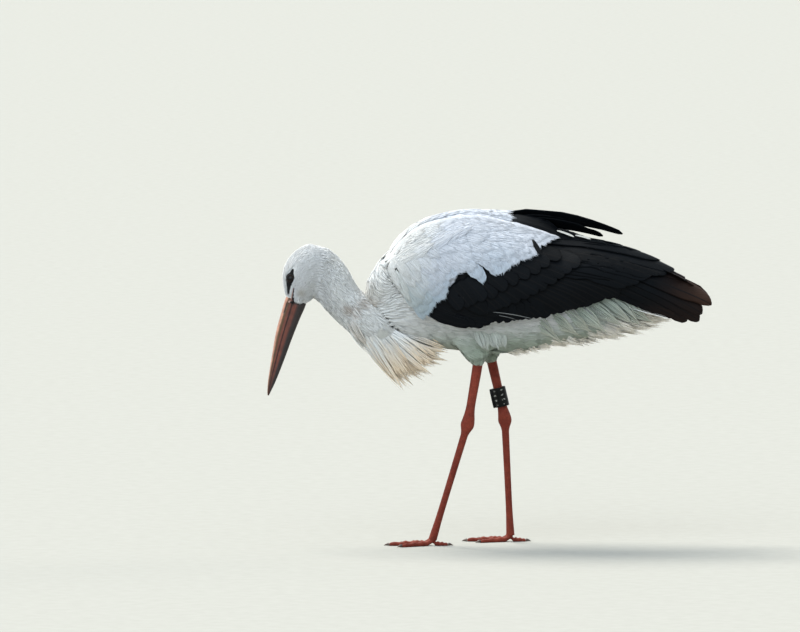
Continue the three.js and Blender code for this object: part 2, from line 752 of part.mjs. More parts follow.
// A toe along the floor from the foot's root, and the claw beyond its end.
function toe(root, outwards, { turn: turned, length, thick }) {
  const heading = rad(turned) * outwards;
  const along = V(-Math.cos(heading), Math.sin(heading), 0);
  const across = V(-along.y, along.x, 0);
  const rings = KNUCKLES.map(([share, fat]) => {
    const half = thick * fat;
    const high = Math.max(half - SOLE, lerp(INSTEP.height, 0, share / INSTEP.share));
    const centre = V(root.x, root.y, high).addScaledVector(along, share * length);
    return section(centre, across, UP, half, half, half, 2, 6);
  });
  const body = loft(rings);
  const clawRings = CLAW.sections.map((share) => {
    const half = lerp(1, CLAW.point, share ** CLAW.thins);
    const centre = V(root.x, root.y, lerp(CLAW.root, CLAW.tip, share ** CLAW.drops));
    centre.addScaledVector(along, length + GAP + share * CLAW.length);
    return section(centre, across, UP, CLAW.width * half, CLAW.depth * half, CLAW.depth * half, 2, 6);
  });
  return { body, claw: loft(clawRings) };
}

function ring({ knee, ankle, y }) {
  const axis = V(knee[0] - ankle[0], 0, knee[1] - ankle[1]).normalize();
  const half = RING.height / 2;
  const profile = [
    [RING.inner, -half], [RING.outer, -half], [RING.outer, half], [RING.inner, half], [RING.inner, -half],
  ].map(([r, h]) => new THREE.Vector2(r, h));
  const tube = solid(new THREE.LatheGeometry(profile, 24));
  const flange = moved(
    new THREE.BoxGeometry(RING.flange + 1, RING.height, RING.flangeThick),
    shift(-RING.outer - (RING.flange - 1) / 2, 0, 0),
  );
  const both = tube.add(flange).getMesh();
  const geometry = new THREE.BufferGeometry();
  geometry.setAttribute("position", new THREE.BufferAttribute(both.vertProperties, 3));
  geometry.setIndex(new THREE.BufferAttribute(both.triVerts, 1));
  const upright = new THREE.Matrix4().makeRotationFromQuaternion(
    new THREE.Quaternion().setFromUnitVectors(ACROSS, axis),
  );
  const slack = V(-axis.z, 0, axis.x).multiplyScalar(RING.slack);
  const centre = V(ankle[0], y, ankle[1]).addScaledVector(axis, RING.up).add(slack);
  return moved(geometry, upright, shift(centre.x, centre.y, centre.z));
}

// ---------------------------------------------------------------- the bird's nodes

const nodes = [];
const add = (name, body, material) => nodes.push({ name, body: largest(body), material });

const torso = torsoBody().intersect(halfSpace(TAIL_CUT, -1));
const torsoCut = torsoBody(GAP);
add("torso", torso, WHITE);

const head = headBody();
const headCut = headBody(GAP);
const isNeck = halfSpace(HEAD_CUT, 1);
const neck = join([neckBody(), ...plumes()]).subtract(torsoCut);
const neckAlone = neck.intersect(isNeck);
add("neck_upper", neckAlone.intersect(halfSpace(NECK_CUT, -1)), WHITE);
add("neck_lower", neckAlone.intersect(halfSpace(NECK_CUT, 1)), WHITE);

const bills = [mandible(true, GAP), mandible(false, GAP)];
const eyeHoles = [-1, 1].map((side) => eyeball(side, GAP));
const skull = join([head.add(neckBody()).intersect(halfSpace(HEAD_CUT, -1)), lid(-1), lid(1)]);
add("head", [...bills, ...eyeHoles].reduce((body, cut) => body.subtract(cut), skull), WHITE);
add("eye_left", eyeball(-1), EYE_BROWN);
add("eye_right", eyeball(1), EYE_BROWN);
add("bill_upper", mandible(true).subtract(nostril(-1)).subtract(nostril(1)), BILL_RED);
add("bill_lower", mandible(false), BILL_RED);

const tail = (grow = 0) =>
  join([bar(TAIL, 0, { sides: 12, grow }), ...tailFeathers(grow), ...undertailFeathers(grow)]);
add("tail", tail().intersect(halfSpace(TAIL_CUT, 1)), WHITE);

for (const [name, side] of [["left", -1], ["right", 1]]) {
  const beside = shift(0, side * (BEYOND / 2 + GAP), 0);
  const half = moved(new THREE.BoxGeometry(BEYOND, BEYOND, BEYOND), beside);
  const clear = (body) => body.intersect(half).subtract(torsoCut).subtract(tail(GAP));
  const core = wingCore(side);
  const whites = (grow) => WHITE_TIERS.flatMap((shape) => tier(side, shape, ROUND, grow));
  const wall = whiteWall(side);
  add(`wing_${name}_coverts`, clear(join([core.intersect(wall), ...whites(0)])), WHITE);
  const tertials = side < 0 ? BLACK_TIERS.tertials : { ...BLACK_TIERS.tertials, ...RIGHT_TERTIALS };
  const blacks = [
    ...tier(side, BLACK_TIERS.primaries, LONG),
    ...tier(side, BLACK_TIERS.secondaries, LONG),
    ...tier(side, tertials, LONG),
    ...tier(side, BLACK_TIERS.greater_coverts, ROUND),
    ...tier(side, BLACK_TIERS.primary_coverts, ROUND),
  ];
  const covered = join([whiteWall(side, GAP), ...whites(GAP)]);
  add(`wing_${name}_flight`, clear(join([core, ...blacks]).subtract(covered)), BLACK);
}

for (const [name, side] of [["left", -1], ["right", 1]]) {
  const place = LEGS[name];
  const bare = leg(place);
  const upper = thigh(place).subtract(torsoCut);
  add(`thigh_${name}`, upper.subtract(leg(place, GAP)), WHITE);
  const ankleCut = { x: place.ankle[0], z: place.ankle[1], lean: 90 };
  const footCut = { x: place.foot[0], z: FOOT.cut, lean: 90 };
  add(`shin_${name}`, bare.subtract(torsoCut).intersect(halfSpace(ankleCut, -1)), LEG_RED);
  add(`tarsus_${name}`, bare.intersect(halfSpace(ankleCut, 1)).intersect(halfSpace(footCut, -1)), LEG_RED);
  const root = V(place.foot[0], place.y, 0);
  const toes = Object.entries(TOES).map(([key, size]) => [key, toe(root, side, size)]);
  const base = join([bare.intersect(halfSpace(footCut, 1)), ...toes.map(([, made]) => made.body)]);
  const floor = moved(new THREE.BoxGeometry(BEYOND, BEYOND, BEYOND), shift(0, 0, -BEYOND / 2));
  add(`foot_${name}`, base.subtract(floor), LEG_RED);
  for (const [key, made] of toes) add(`claw_${name}_${key}`, made.claw, CLAW_HORN);
}
add("ring_right", ring(LEGS.right), RING_BLACK);

const stork = new THREE.Group();
for (const { name, body, material } of nodes) {
  const { vertProperties, triVerts } = body.getMesh();
  const geometry = new THREE.BufferGeometry();
  geometry.setAttribute("position", new THREE.BufferAttribute(vertProperties, 3));
  geometry.setIndex(new THREE.BufferAttribute(triVerts, 1));
  const mesh = new THREE.Mesh(geometry, material);
  mesh.name = name;
  stork.add(mesh);
}

export default stork;
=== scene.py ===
"""A white stork at life size, stooping to pick at the ground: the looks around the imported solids.

All sizes here are millimetres in the model's own frame (the bird faces -X, its left side
faces -Y, +Z is up); mesh_object turns them into metres.
"""

import math

import bpy
import numpy as np
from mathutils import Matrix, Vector
from mathutils.bvhtree import BVHTree


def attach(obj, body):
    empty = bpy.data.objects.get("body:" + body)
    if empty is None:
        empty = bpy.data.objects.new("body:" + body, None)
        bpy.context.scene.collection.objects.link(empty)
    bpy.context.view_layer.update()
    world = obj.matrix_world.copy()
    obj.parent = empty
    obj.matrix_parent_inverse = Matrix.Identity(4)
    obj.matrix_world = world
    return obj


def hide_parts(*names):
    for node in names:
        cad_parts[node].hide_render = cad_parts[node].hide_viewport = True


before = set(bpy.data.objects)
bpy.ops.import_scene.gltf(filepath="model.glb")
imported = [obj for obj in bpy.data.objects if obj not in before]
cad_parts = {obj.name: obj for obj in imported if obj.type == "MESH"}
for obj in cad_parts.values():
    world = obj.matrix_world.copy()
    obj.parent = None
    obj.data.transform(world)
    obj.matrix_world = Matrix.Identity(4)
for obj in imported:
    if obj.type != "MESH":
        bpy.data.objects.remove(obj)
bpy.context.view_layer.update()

MM = 0.001
rng = np.random.default_rng(12)

# ---------------------------------------------------------------- sizes

# Torso, front to back: [x, top, bottom, half width].
TORSO = [
    [-222, 446, 430, 8], [-212, 470, 400, 28], [-188, 508, 371, 50], [-150, 545, 354, 68],
    [-100, 570, 345, 79], [-45, 580, 337, 84], [10, 580, 333, 82], [60, 566, 338, 74],
    [110, 540, 349, 62], [160, 510, 356, 48], [200, 482, 366, 36],
]
TORSO_ROUNDNESS = 2.25
# Neck, head to body: [x, z, half depth, half width].
NECK = [
    [-322, 493, 38, 26], [-307, 484, 42, 29], [-293, 472, 43, 31], [-280, 457, 41, 32],
    [-267, 440, 37, 32], [-253, 423, 35, 33], [-236, 409, 37, 36], [-213, 396, 41, 42],
    [-188, 384, 42, 45], [-163, 376, 32, 38],
]
# Head frame: origin in the middle of the bill's base, bill towards the ground.
BILL_BASE = (-338.6, 428.8)
BILL_LEAN = math.radians(17)
HEAD_ROLL = math.radians(18)
# Head: [distance along the bill, crown, chin, half width].
HEAD = [
    [-102, 1, -24, 9], [-97, 11, -36, 17], [-86, 23, -46, 24], [-70, 33, -50, 28],
    [-50, 38.6, -46, 28.5], [-30, 36.6, -37, 25], [-12, 28, -27, 20], [0, 21.2, -21, 16],
    [7, 17, -15, 11],
]
# Bill: [distance from the base, culmen, mouth line, keel, half width at the mouth line].
BILL = [
    [-8, 17, 1.5, -15, 10], [4, 19.6, 1.8, -18, 12], [30, 19.6, 2.2, -15.2, 10.6],
    [66, 18.4, 2.6, -12.2, 8.8], [108, 12.9, 2.0, -9.7, 6.6], [148, 7.0, 0.6, -6.4, 4.2],
    [169, 2.2, -0.8, -3.2, 2.2], [175.5, -0.2, -1.4, -2.0, 1.0],
]
MOUTH_GAP = 0.5
EYE = {"along": -33, "level": 15.5, "side": 15.6, "radius": 9.2}
# Folded wing, seen from the side: [x, lower edge, left wing's upper edge, right wing's
# upper edge, half width of the sheet at the lower edge, half way up and at the top].
WING = [
    [-186, 470, 505, 505, 54, 56, 50], [-160, 434, 538, 538, 76, 80, 52],
    [-122, 402, 566, 566, 86, 93, 54], [-78, 386, 580, 580, 90, 100, 49],
    [-30, 380, 585, 587, 91, 103, 43], [20, 388, 574, 590, 89, 102, 35],
    [80, 394, 556, 583, 82, 96, 24], [125, 404, 541, 576, 72, 86, 17],
    [170, 414, 538, 562, 60, 74, 13], [225, 420, 526, 536, 47, 60, 10],
    [280, 404, 506, 502, 37, 47, 8], [330, 394, 479, 476, 28, 36, 6],
    [372, 400, 450, 448, 22, 27, 5], [389, 420, 436, 434, 19, 21, 6],
]
# Tail's fleshy root: [x, z, half depth, half width].
TAIL = [[130, 440, 74, 44], [176, 430, 58, 38], [212, 416, 36, 30], [236, 409, 14, 22]]
LEGS = {
    "left": {"y": -38, "hip": (-30, 400), "knee": (-22, 322), "ankle": (-39, 216), "foot": (-101, 11)},
    "right": {"y": 38, "hip": (-14, 400), "knee": (2, 322), "ankle": (26, 218), "foot": (36, 11)},
}
THIGH = [[0, 40, 24], [0.45, 38, 25], [0.8, 25, 18], [1, 13, 12], [1.12, 7, 7]]

# How far the skin lies inside the solids, under the coat.
COAT_DEPTH = {"body": 7.0, "neck": 3.6, "head": 3.2, "crown": 0.8, "thigh": 5.0, "wing": 9.0, "tail": 7.0}


# ---------------------------------------------------------------- shape tools


class Smooth:
    """A smooth curve through rows [t, a, b, ...], for many values of t at once."""

    def __init__(self, rows):
        table = np.array(rows, float)
        self.t, self.values = table[:, 0], table[:, 1:]
        last = len(rows) - 1
        low = np.maximum(np.arange(last + 1) - 1, 0)
        high = np.minimum(np.arange(last + 1) + 1, last)
        run = (self.t[high] - self.t[low])[:, None]
        self.slope = (self.values[high] - self.values[low]) / run

    def __call__(self, t):
        t = np.clip(np.asarray(t, float), self.t[0], self.t[-1])
        k = np.clip(np.searchsorted(self.t, t, side="right") - 1, 0, len(self.t) - 2)
        span = self.t[k + 1] - self.t[k]
        s = ((t - self.t[k]) / span)[..., None]
        span = span[..., None]
        back = 1 - s
        p, q = self.values[k], self.values[k + 1]
        leave, arrive = self.slope[k] * span, self.slope[k + 1] * span
        return (p * (1 + 2 * s) + leave * s) * back**2 + (q * (3 - 2 * s) - arrive * back) * s**2


def smoothstep(low, high, x):
    t = np.clip((np.asarray(x, float) - low) / (high - low), 0, 1)
    return t * t * (3 - 2 * t)


def mix(a, b, t):
    return a + (b - a) * t


def unit(v):
    return v / np.maximum(np.linalg.norm(v, axis=-1, keepdims=True), 1e-9)


def section(centre, across, up, half, high, count, roundness=2, low=None):
    """Points round a section: half its width, and how high and how low it reaches."""
    angle = 2 * np.pi * (np.arange(count) + 0.5) / count
    c, s = np.cos(angle), np.sin(angle)
    side = np.sign(c) * np.abs(c) ** (2 / roundness) * half
    rise = np.sign(s) * np.abs(s) ** (2 / roundness) * np.where(s > 0, high, high if low is None else low)
    return centre + side[:, None] * across + rise[:, None] * up


def patches(rows, columns, close_rows=False, close_columns=False, flip=False):
    """Faces of a grid of points that may close on itself along either side."""
    faces = []
    for r in range(rows if close_rows else rows - 1):
        near, far = r * columns, (r + 1) % rows * columns
        for c in range(columns if close_columns else columns - 1):
            d = (c + 1) % columns
            faces.append((near + c, near + d, far + d, far + c))
    return [face[::-1] for face in faces] if flip else faces


def loft(rings):
    """A closed mesh (points, faces) through rings of points."""
    count, rows = len(rings[0]), len(rings)
    points = np.concatenate(rings + [rings[0].mean(0, keepdims=True), rings[-1].mean(0, keepdims=True)])
    faces = patches(rows, count, close_columns=True)
    end, first, last = (rows - 1) * count, rows * count, rows * count + 1
    for i in range(count):
        j = (i + 1) % count
        faces += [(j, i, first), (end + i, end + j, last)]
    return points, faces


def joined(shapes):
    """One mesh (points, faces) out of several."""
    points, faces, start = [], [], 0
    for shape_points, shape_faces in shapes:
        points.append(shape_points)
        faces += [tuple(v + start for v in face) for face in shape_faces]
        start += len(shape_points)
    return np.concatenate(points), faces


def by_index(rows):
    return Smooth([[i, *row] for i, row in enumerate(rows)])


def curve(points):
    return Smooth([[i / (len(points) - 1), *p] for i, p in enumerate(points)])


SIDES = ((-1, "left"), (1, "right"))
ACROSS = np.array([0.0, 1.0, 0.0])
UP = np.array([0.0, 0.0, 1.0])


def bar(sections, y, inset=0.0, sides=28, steps=4):
    """A bent round bar through sections [x, z, half depth, half width] across it."""
    at, rings = by_index(sections), []
    for t in np.linspace(0, len(sections) - 1, (len(sections) - 1) * steps + 1):
        x, z, depth, half = at(t)
        ahead, behind = at(t + 0.2), at(t - 0.2)
        along = unit(np.array([ahead[0] - behind[0], 0, ahead[1] - behind[1]]))
        up = np.array([-along[2], 0, along[0]])
        depth, half = max(depth - inset, 0.5), max(half - inset, 0.5)
        rings.append(section(np.array([x, y, z]), ACROSS, up, half, depth, sides))
    return loft(rings)


BILL_AXIS = np.array([-math.sin(BILL_LEAN), 0, -math.cos(BILL_LEAN)])
CROWN_FLAT = np.array([-math.cos(BILL_LEAN), 0, math.sin(BILL_LEAN)])
CROWN = CROWN_FLAT * math.cos(HEAD_ROLL) + ACROSS * math.sin(HEAD_ROLL)
RIGHT = ACROSS * math.cos(HEAD_ROLL) - CROWN_FLAT * math.sin(HEAD_ROLL)
HEAD_ORIGIN = np.array([BILL_BASE[0], 0, BILL_BASE[1]])


def head_point(along, level, side):
    """A point from its place in the head's frame."""
    along, level, side = (np.asarray(v, float)[..., None] for v in (along, level, side))
    return HEAD_ORIGIN + along * BILL_AXIS + level * CROWN + side * RIGHT


def head_place(points):
    """The place in the head's frame: distance along the bill, level and side."""
    away = points - HEAD_ORIGIN
    return away @ BILL_AXIS, away @ CROWN, away @ RIGHT


wing_at = Smooth(WING)
# The side view looks down by 4 degrees, so what lies nearer shows lower by this share.
LEAN = math.tan(math.radians(4))
# How far the right wing's upper edge stays under the left one's, over the back and in front.
FAR_TOP_DROP, FAR_FRONT_DROP = 4.0, 9.0
# Radius of the sheet's rolled upper edge, over the back and behind it.
ROLL = (28.0, 13.0, 3.0)


def wing_rows(side, x):
    """Lower edge, upper edge and three half widths of a folded wing at x. side is negative
    for the left wing."""
    low, left, right, *halves = np.moveaxis(wing_at(x), -1, 0)
    return low, np.where(np.asarray(side) < 0, left, right), *halves


def half_width(low, middle, top, u):
    """Half width over both wings at share u of the way up."""
    bend = 2 * (low + top - 2 * middle)
    return low + (top - low - bend) * u + bend * u * u


def roll_radius(x, half_top):
    radius = mix(mix(*ROLL[:2], smoothstep(-20, 60, x)), ROLL[2], smoothstep(190, 290, x))
    return np.minimum(radius, 0.6 * half_top)


def lean(side, x, y, u):
    """How much higher a point of the folded wing is than it shows in the side view."""
    far = smoothstep(0.6, 1, u) * (side > 0)
    drop = FAR_TOP_DROP * smoothstep(60, 20, x) + FAR_FRONT_DROP * smoothstep(-110, -170, x)
    return LEAN * y * (1 - 2 * far) - drop * far


def sheet(side, x, z, height=0.0, roll=True):
    """Points over the folded wing's outer sheet, by their place in the side view. Its upper
    edge rolls inwards over the back; places above it go on inwards."""

    def flat(x, z):
        low, top, *halves = wing_rows(side, x)
        u = np.clip((z - low) / (top - low), -0.3, 1.15)
        y = half_width(*halves, u)
        if roll:
            radius = roll_radius(x, halves[-1])
            turn = np.clip((z - top + radius) / radius, 0, np.pi / 2)
            past = np.maximum(z - top - (np.pi / 2 - 1) * radius, 0)
            y = y - radius * (1 - np.cos(turn)) - past
            z = np.where(turn > 0, top - radius * (1 - np.sin(turn)) - 0.15 * past, z)
        return np.stack([x, side * y, z + lean(side, x, y, u)], axis=-1)

    x, z = np.broadcast_arrays(np.asarray(x, float), np.asarray(z, float))
    step = 4.0
    along = flat(x + step, z) - flat(x - step, z)
    rise = flat(x, z + step) - flat(x, z - step)
    normal = unit(np.cross(along, rise)) * -side
    return flat(x, z) + normal * np.asarray(height)[..., None]


def arch(points):
    """Lays points on the arch of the back, from one wing's rolled edge to the other's."""

    def place(x, y):
        left, right, half = np.moveaxis(wing_at(x)[..., [1, 2, 5]], -1, 0)
        share = np.clip(y / half, -1, 1)
        right = mix(right - LEAN * half - FAR_TOP_DROP * smoothstep(60, 20, x), left, smoothstep(90, 150, x))
        radius = roll_radius(x, half)
        turn = np.clip(1 - (half - np.abs(y)) / radius, 0, 1)
        z = mix(left + LEAN * half, right, (share + 1) / 2) - radius * (1 - np.sqrt(1 - turn**2))
        return np.stack([x, y, z], axis=-1)

    x, y, step = points[..., 0], points[..., 1], 3.0
    normal = np.cross(place(x + step, y) - place(x - step, y), place(x, y + step) - place(x, y - step))
    return place(x, y), unit(normal)


# ---------------------------------------------------------------- Blender tools


def placed(name, data):
    made = bpy.data.objects.new(name, data)
    bpy.context.scene.collection.objects.link(made)
    return made


def mesh_object(name, points, faces, smooth=True):
    mesh = bpy.data.meshes.new(name)
    mesh.from_pydata([tuple(p) for p in np.asarray(points) * MM], [], [tuple(f) for f in faces])
    mesh.validate()
    mesh.polygons.foreach_set("use_smooth", [smooth] * len(mesh.polygons))
    return placed(name, mesh)


def triangle_object(name, points, triangles):
    """A mesh from numpy arrays of points and triangles, for coats of many feathers."""
    mesh = bpy.data.meshes.new(name)
    mesh.vertices.add(len(points))
    mesh.vertices.foreach_set("co", (points * MM).astype(np.float32).ravel())
    mesh.loops.add(triangles.size)
    mesh.loops.foreach_set("vertex_index", triangles.astype(np.int32).ravel())
    mesh.polygons.add(len(triangles))
    mesh.polygons.foreach_set("loop_start", np.arange(0, triangles.size, 3, dtype=np.int32))
    mesh.polygons.foreach_set("use_smooth", np.ones(len(triangles), bool))
    mesh.update(calc_edges=True)
    return placed(name, mesh)


def applied(made, *modifiers):
    """Adds modifiers (kind, settings), applies them all and returns the object."""
    for kind, settings in modifiers:
        modifier = made.modifiers.new(kind.title(), kind)
        for key, value in settings.items():
            setattr(modifier, key, value)
    graph = bpy.context.evaluated_depsgraph_get()
    mesh = bpy.data.meshes.new_from_object(made.evaluated_get(graph))
    made.modifiers.clear()
    old = made.data
    made.data = mesh
    bpy.data.meshes.remove(old)
    return made


def remeshed(made, voxel, smoothing):
    """Melts a mesh's shapes into one surface, on voxels of a size in mm, and smooths it."""
    remesh = ("REMESH", {"mode": "VOXEL", "voxel_size": voxel * MM, "use_smooth_shade": True})
    return applied(made, remesh, ("SMOOTH", {"factor": 0.5, "iterations": smoothing}))


def finish(made, material, slot, *nodes):
    made.data.materials.clear()
    made.data.materials.append(material)
    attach(made, "root")
    if nodes:
        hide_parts(*nodes)
    return made


def points_of(mesh):
    found = np.empty(len(mesh.vertices) * 3, np.float32)
    mesh.vertices.foreach_get("co", found)
    return found.reshape(-1, 3).astype(float) / MM

def write_map(made, name, places):
    """A UV map from one place for each point."""
    order = np.empty(len(made.data.loops), np.int32)
    made.data.loops.foreach_get("vertex_index", order)
    layer = made.data.uv_layers.new(name=name)
    layer.uv.foreach_set("vector", places[order].astype(np.float32).ravel())


def set_tint(made, colour):
    """One colour for each point, or one for all."""
    flat = np.broadcast_to(colour, (len(made.data.vertices), 3))
    attribute = made.data.attributes.new("Tint", "FLOAT_COLOR", "POINT")
    attribute.data.foreach_set("color", np.c_[flat, np.ones(len(flat))].astype(np.float32).ravel())


# ---------------------------------------------------------------- material tools


class Nodes:
    """A short way to write a material's node tree."""

    def __init__(self, name):
        self.material = bpy.data.materials.new(name)
        self.material.use_nodes = True
        self.tree = self.material.node_tree
        self.shader = self.tree.nodes["Principled BSDF"]

    def put(self, socket, value):
        if isinstance(value, bpy.types.NodeSocket):
            self.tree.links.new(value, socket)
        else:
            socket.default_value = (*value, 1) if socket.type == "RGBA" else value

    def node(self, kind, inputs=(), **settings):
        made = self.tree.nodes.new(kind)
        for key, value in settings.items():
            setattr(made, key, value)
        for key, value in dict(inputs).items():
            self.put(made.inputs[key], value)
        return made

    def math(self, operation, a, b=0.0, c=0.0, **settings):
        return self.node("ShaderNodeMath", {0: a, 1: b, 2: c}, operation=operation, **settings).outputs[0]

    def times(self, a, b):
        return self.math("MULTIPLY", a, b)

    def plus(self, a, b):
        return self.math("ADD", a, b)

    def ramp(self, factor, *stops):
        made = self.node("ShaderNodeValToRGB", {"Fac": factor})
        elements = made.color_ramp.elements
        while len(elements) < len(stops):
            elements.new(0.5)
        for element, (place, colour) in zip(elements, stops):
            element.position, element.color = place, (*colour, 1)
        return made.outputs["Color"]

    def grey(self, factor, *stops):
        return self.ramp(factor, *[(place, (value,) * 3) for place, value in stops])

    def noise(self, scale, vector, detail=3.0, rough=0.5):
        inputs = {"Vector": vector, "Scale": scale, "Detail": detail, "Roughness": rough}
        return self.node("ShaderNodeTexNoise", inputs).outputs["Fac"]

    def blend(self, a, b, factor=1.0, kind="MULTIPLY"):
        sockets = {0: factor, 6: a, 7: b}
        return self.node("ShaderNodeMix", sockets, data_type="RGBA", blend_type=kind).outputs[2]

    def bump(self, height, strength, distance):
        inputs = {"Height": height, "Strength": strength, "Distance": distance}
        return self.node("ShaderNodeBump", inputs).outputs["Normal"]

    def scaled(self, vector, scale):
        return self.node("ShaderNodeMapping", {"Vector": vector, "Scale": scale}).outputs[0]

    def parts(self, vector):
        return self.node("ShaderNodeSeparateXYZ", {0: vector}).outputs

    def seat(self):
        return self.node("ShaderNodeTexCoord").outputs["Object"]

    def tint(self):
        return self.node("ShaderNodeAttribute", attribute_name="Tint").outputs["Color"]

    def map(self, name):
        return self.node("ShaderNodeUVMap", uv_map=name).outputs[0]

    def set(self, **values):
        for key, value in values.items():
            self.put(self.shader.inputs[key.replace("_", " ")], value)
        return self.material


# ---------------------------------------------------------------- markings and painted light

WHITE = np.array([0.80, 0.81, 0.80])
# Cream of the plume, vent and tail tips, warm and strong: partly their own colour and partly a painted glow of
# backlight through them.
CREAM_AND_GLOW = np.array([1.0, 0.76, 0.49])
STAIN = np.array([0.24, 0.15, 0.085])
BELLY_SHADE = np.array([0.31, 0.39, 0.29])
WING_SHADE = np.array([0.68, 0.74, 0.87])
SKULL_SHADE = np.array([0.64, 0.65, 0.66])
# Warm grey at the front of the back, by the foot of the neck: brownish streaks there, darkened further as painted
# shade of that hollow.
FRONT_STAIN_AND_SHADE = np.array([0.44, 0.40, 0.33])
# Painted shade on the lower side of the head.
JOWL_SHADE = np.array([0.50, 0.50, 0.46])
# Tan of the feathered lobe over the lower bill's root, darkened round its lower edge as painted shade.
LOBE_TAN_AND_SHADE = np.array([0.36, 0.31, 0.23])
BLACK = np.array([0.0024, 0.0034, 0.0048])
# Brown stains in the crease between nape and mantle: [x, z, reach].
STAINS = [(-262, 424, 8), (-249, 422, 9), (-236, 432, 8), (-226, 448, 8), (-216, 440, 8)]


def spot(u, v, middle, reach):
    """1 in the middle of a soft spot, fading out beyond its reach along u and v."""
    return np.exp(-(((u - middle[0]) / reach[0]) ** 2) - ((v - middle[1]) / reach[1]) ** 2)


def markings_and_painted_light(points):
    """Colour of the plumage at points, the same for the skin and for the coat over it; painted shade and a painted
    glow of backlight are mixed in.
    """
    x, z = points[..., 0], points[..., 2]
    along, level, side = head_place(points)
    rise = 0.2 * np.clip(x - 60, 0, None)  # the shade's upper edge rises towards the tail
    belly = 0.9 * smoothstep(400, 350, z - rise) * smoothstep(-190, -120, x) * smoothstep(290, 230, x)
    layers = [
        (BELLY_SHADE, belly),
        # cream of the breast plumes and the vent, partly a painted glow of backlight
        (CREAM_AND_GLOW, 0.85 * smoothstep(372, 300, z) * smoothstep(-70, -110, x)),  # plumes of the breast
        (CREAM_AND_GLOW, 0.35 * smoothstep(372, 352, z) * smoothstep(40, 120, x)),  # vent
        (WING_SHADE, 0.7 * smoothstep(-175, -120, x) * smoothstep(395, 440, z)),
        (SKULL_SHADE, 0.7 * smoothstep(-272, -300, x) * smoothstep(400, 430, z)),
        *[(STAIN, 0.65 * spot(x, z, middle, (reach, reach))) for *middle, reach in STAINS],
        # brownish streaks at the front of the back, darkened further as painted shade
        (FRONT_STAIN_AND_SHADE, 0.8 * spot(x, z, (-218, 470), (17, 30))),
        # painted shade on the lower side of the head
        (JOWL_SHADE, 0.45 * spot(along, level, (-22, -21), (16, 9))),
        # tan of the lobe at the lower bill's root, with painted shade round its lower edge
        (LOBE_TAN_AND_SHADE, 0.65 * spot(along, level, (-10, -9), (9, 7)) * (np.abs(side) > 8)),
    ]
    colour = WHITE
    for tint, share in layers:
        colour = mix(colour, tint, share[..., None])
    return colour


# Lower rear limit of the white coverts in the side view, from the back to the breast.
WHITE_EDGE = [
    (40, 592), (84, 566), (120, 540), (88, 514), (62, 520), (80, 498), (32, 477), (-10, 457),
    (-34, 478), (-58, 474), (-74, 436), (-80, 424), (-96, 412), (-102, 401), (-116, 392),
]


def inside(x, z, outline):
    """True for the points of the side view that lie inside an outline."""
    hit = np.zeros(np.shape(x), bool)
    for (x0, z0), (x1, z1) in zip(outline, outline[1:] + outline[:1]):
        if z0 == z1:
            continue
        crosses = (z0 > z) != (z1 > z)
        hit ^= crosses & (x < (x1 - x0) * (z - z0) / (z1 - z0) + x0)
    return hit


WHITE_ZONE = WHITE_EDGE + [(-300, 392), (-300, 640), (40, 640)]


# ---------------------------------------------------------------- skin


# The feathered lobe over the lower bill's root, in the head's frame.
LOBE = {"along": -5, "level": -7.0, "side": 11.5, "length": 12.5, "half": 6.2, "thick": 5.2}


def on_lobe(along, level):
    along, level = (along - LOBE["along"]) / LOBE["length"], (level - LOBE["level"]) / LOBE["half"]
    return along**2 + level**2 < 1


def skin_shapes():
    torso_at, head_at, inset = Smooth(TORSO), Smooth(HEAD), COAT_DEPTH["body"]
    rings = []
    for x in np.linspace(-222, 200, 60):
        top, bottom, half = torso_at(x)
        reach = max((top - bottom) / 2 - inset, 1)
        centre = np.array([x, 0, (top + bottom) / 2])
        rings.append(section(centre, ACROSS, UP, max(half - inset, 1), reach, 40, TORSO_ROUNDNESS))
    shapes = [loft(rings[1:]), bar(NECK, 0, COAT_DEPTH["neck"])]
    rings = []
    for along in np.linspace(HEAD[0][0] + 3, HEAD[-1][0] - 2, 34):
        upper, lower, half = head_at(along)
        reach = (upper - lower) / 2 - COAT_DEPTH["crown"]
        centre = head_point(along, (upper + lower) / 2, 0)
        rings.append(section(centre, RIGHT, CROWN, half - COAT_DEPTH["head"], reach, 36))
    shapes.append(loft(rings))
    for side, _ in SIDES:
        rings = []
        for share in np.linspace(-0.98, 0.98, 13):
            centre = head_point(LOBE["along"] + share * LOBE["length"], LOBE["level"], side * LOBE["side"])
            half = math.sqrt(1 - share**2)
            rings.append(section(centre, RIGHT, CROWN, LOBE["thick"] * half, LOBE["half"] * half, 16))
        shapes.append(loft(rings))
    for place in LEGS.values():
        hip, knee = np.array(place["hip"]), np.array(place["knee"])
        sections = [[*mix(hip, knee, share), depth, half] for share, depth, half in THIGH]
        shapes.append(bar(sections, place["y"], COAT_DEPTH["thigh"], sides=20))
    shapes.append(bar(TAIL, 0, COAT_DEPTH["tail"], sides=24))
    return shapes + [wing_body(side) for side, _ in SIDES]


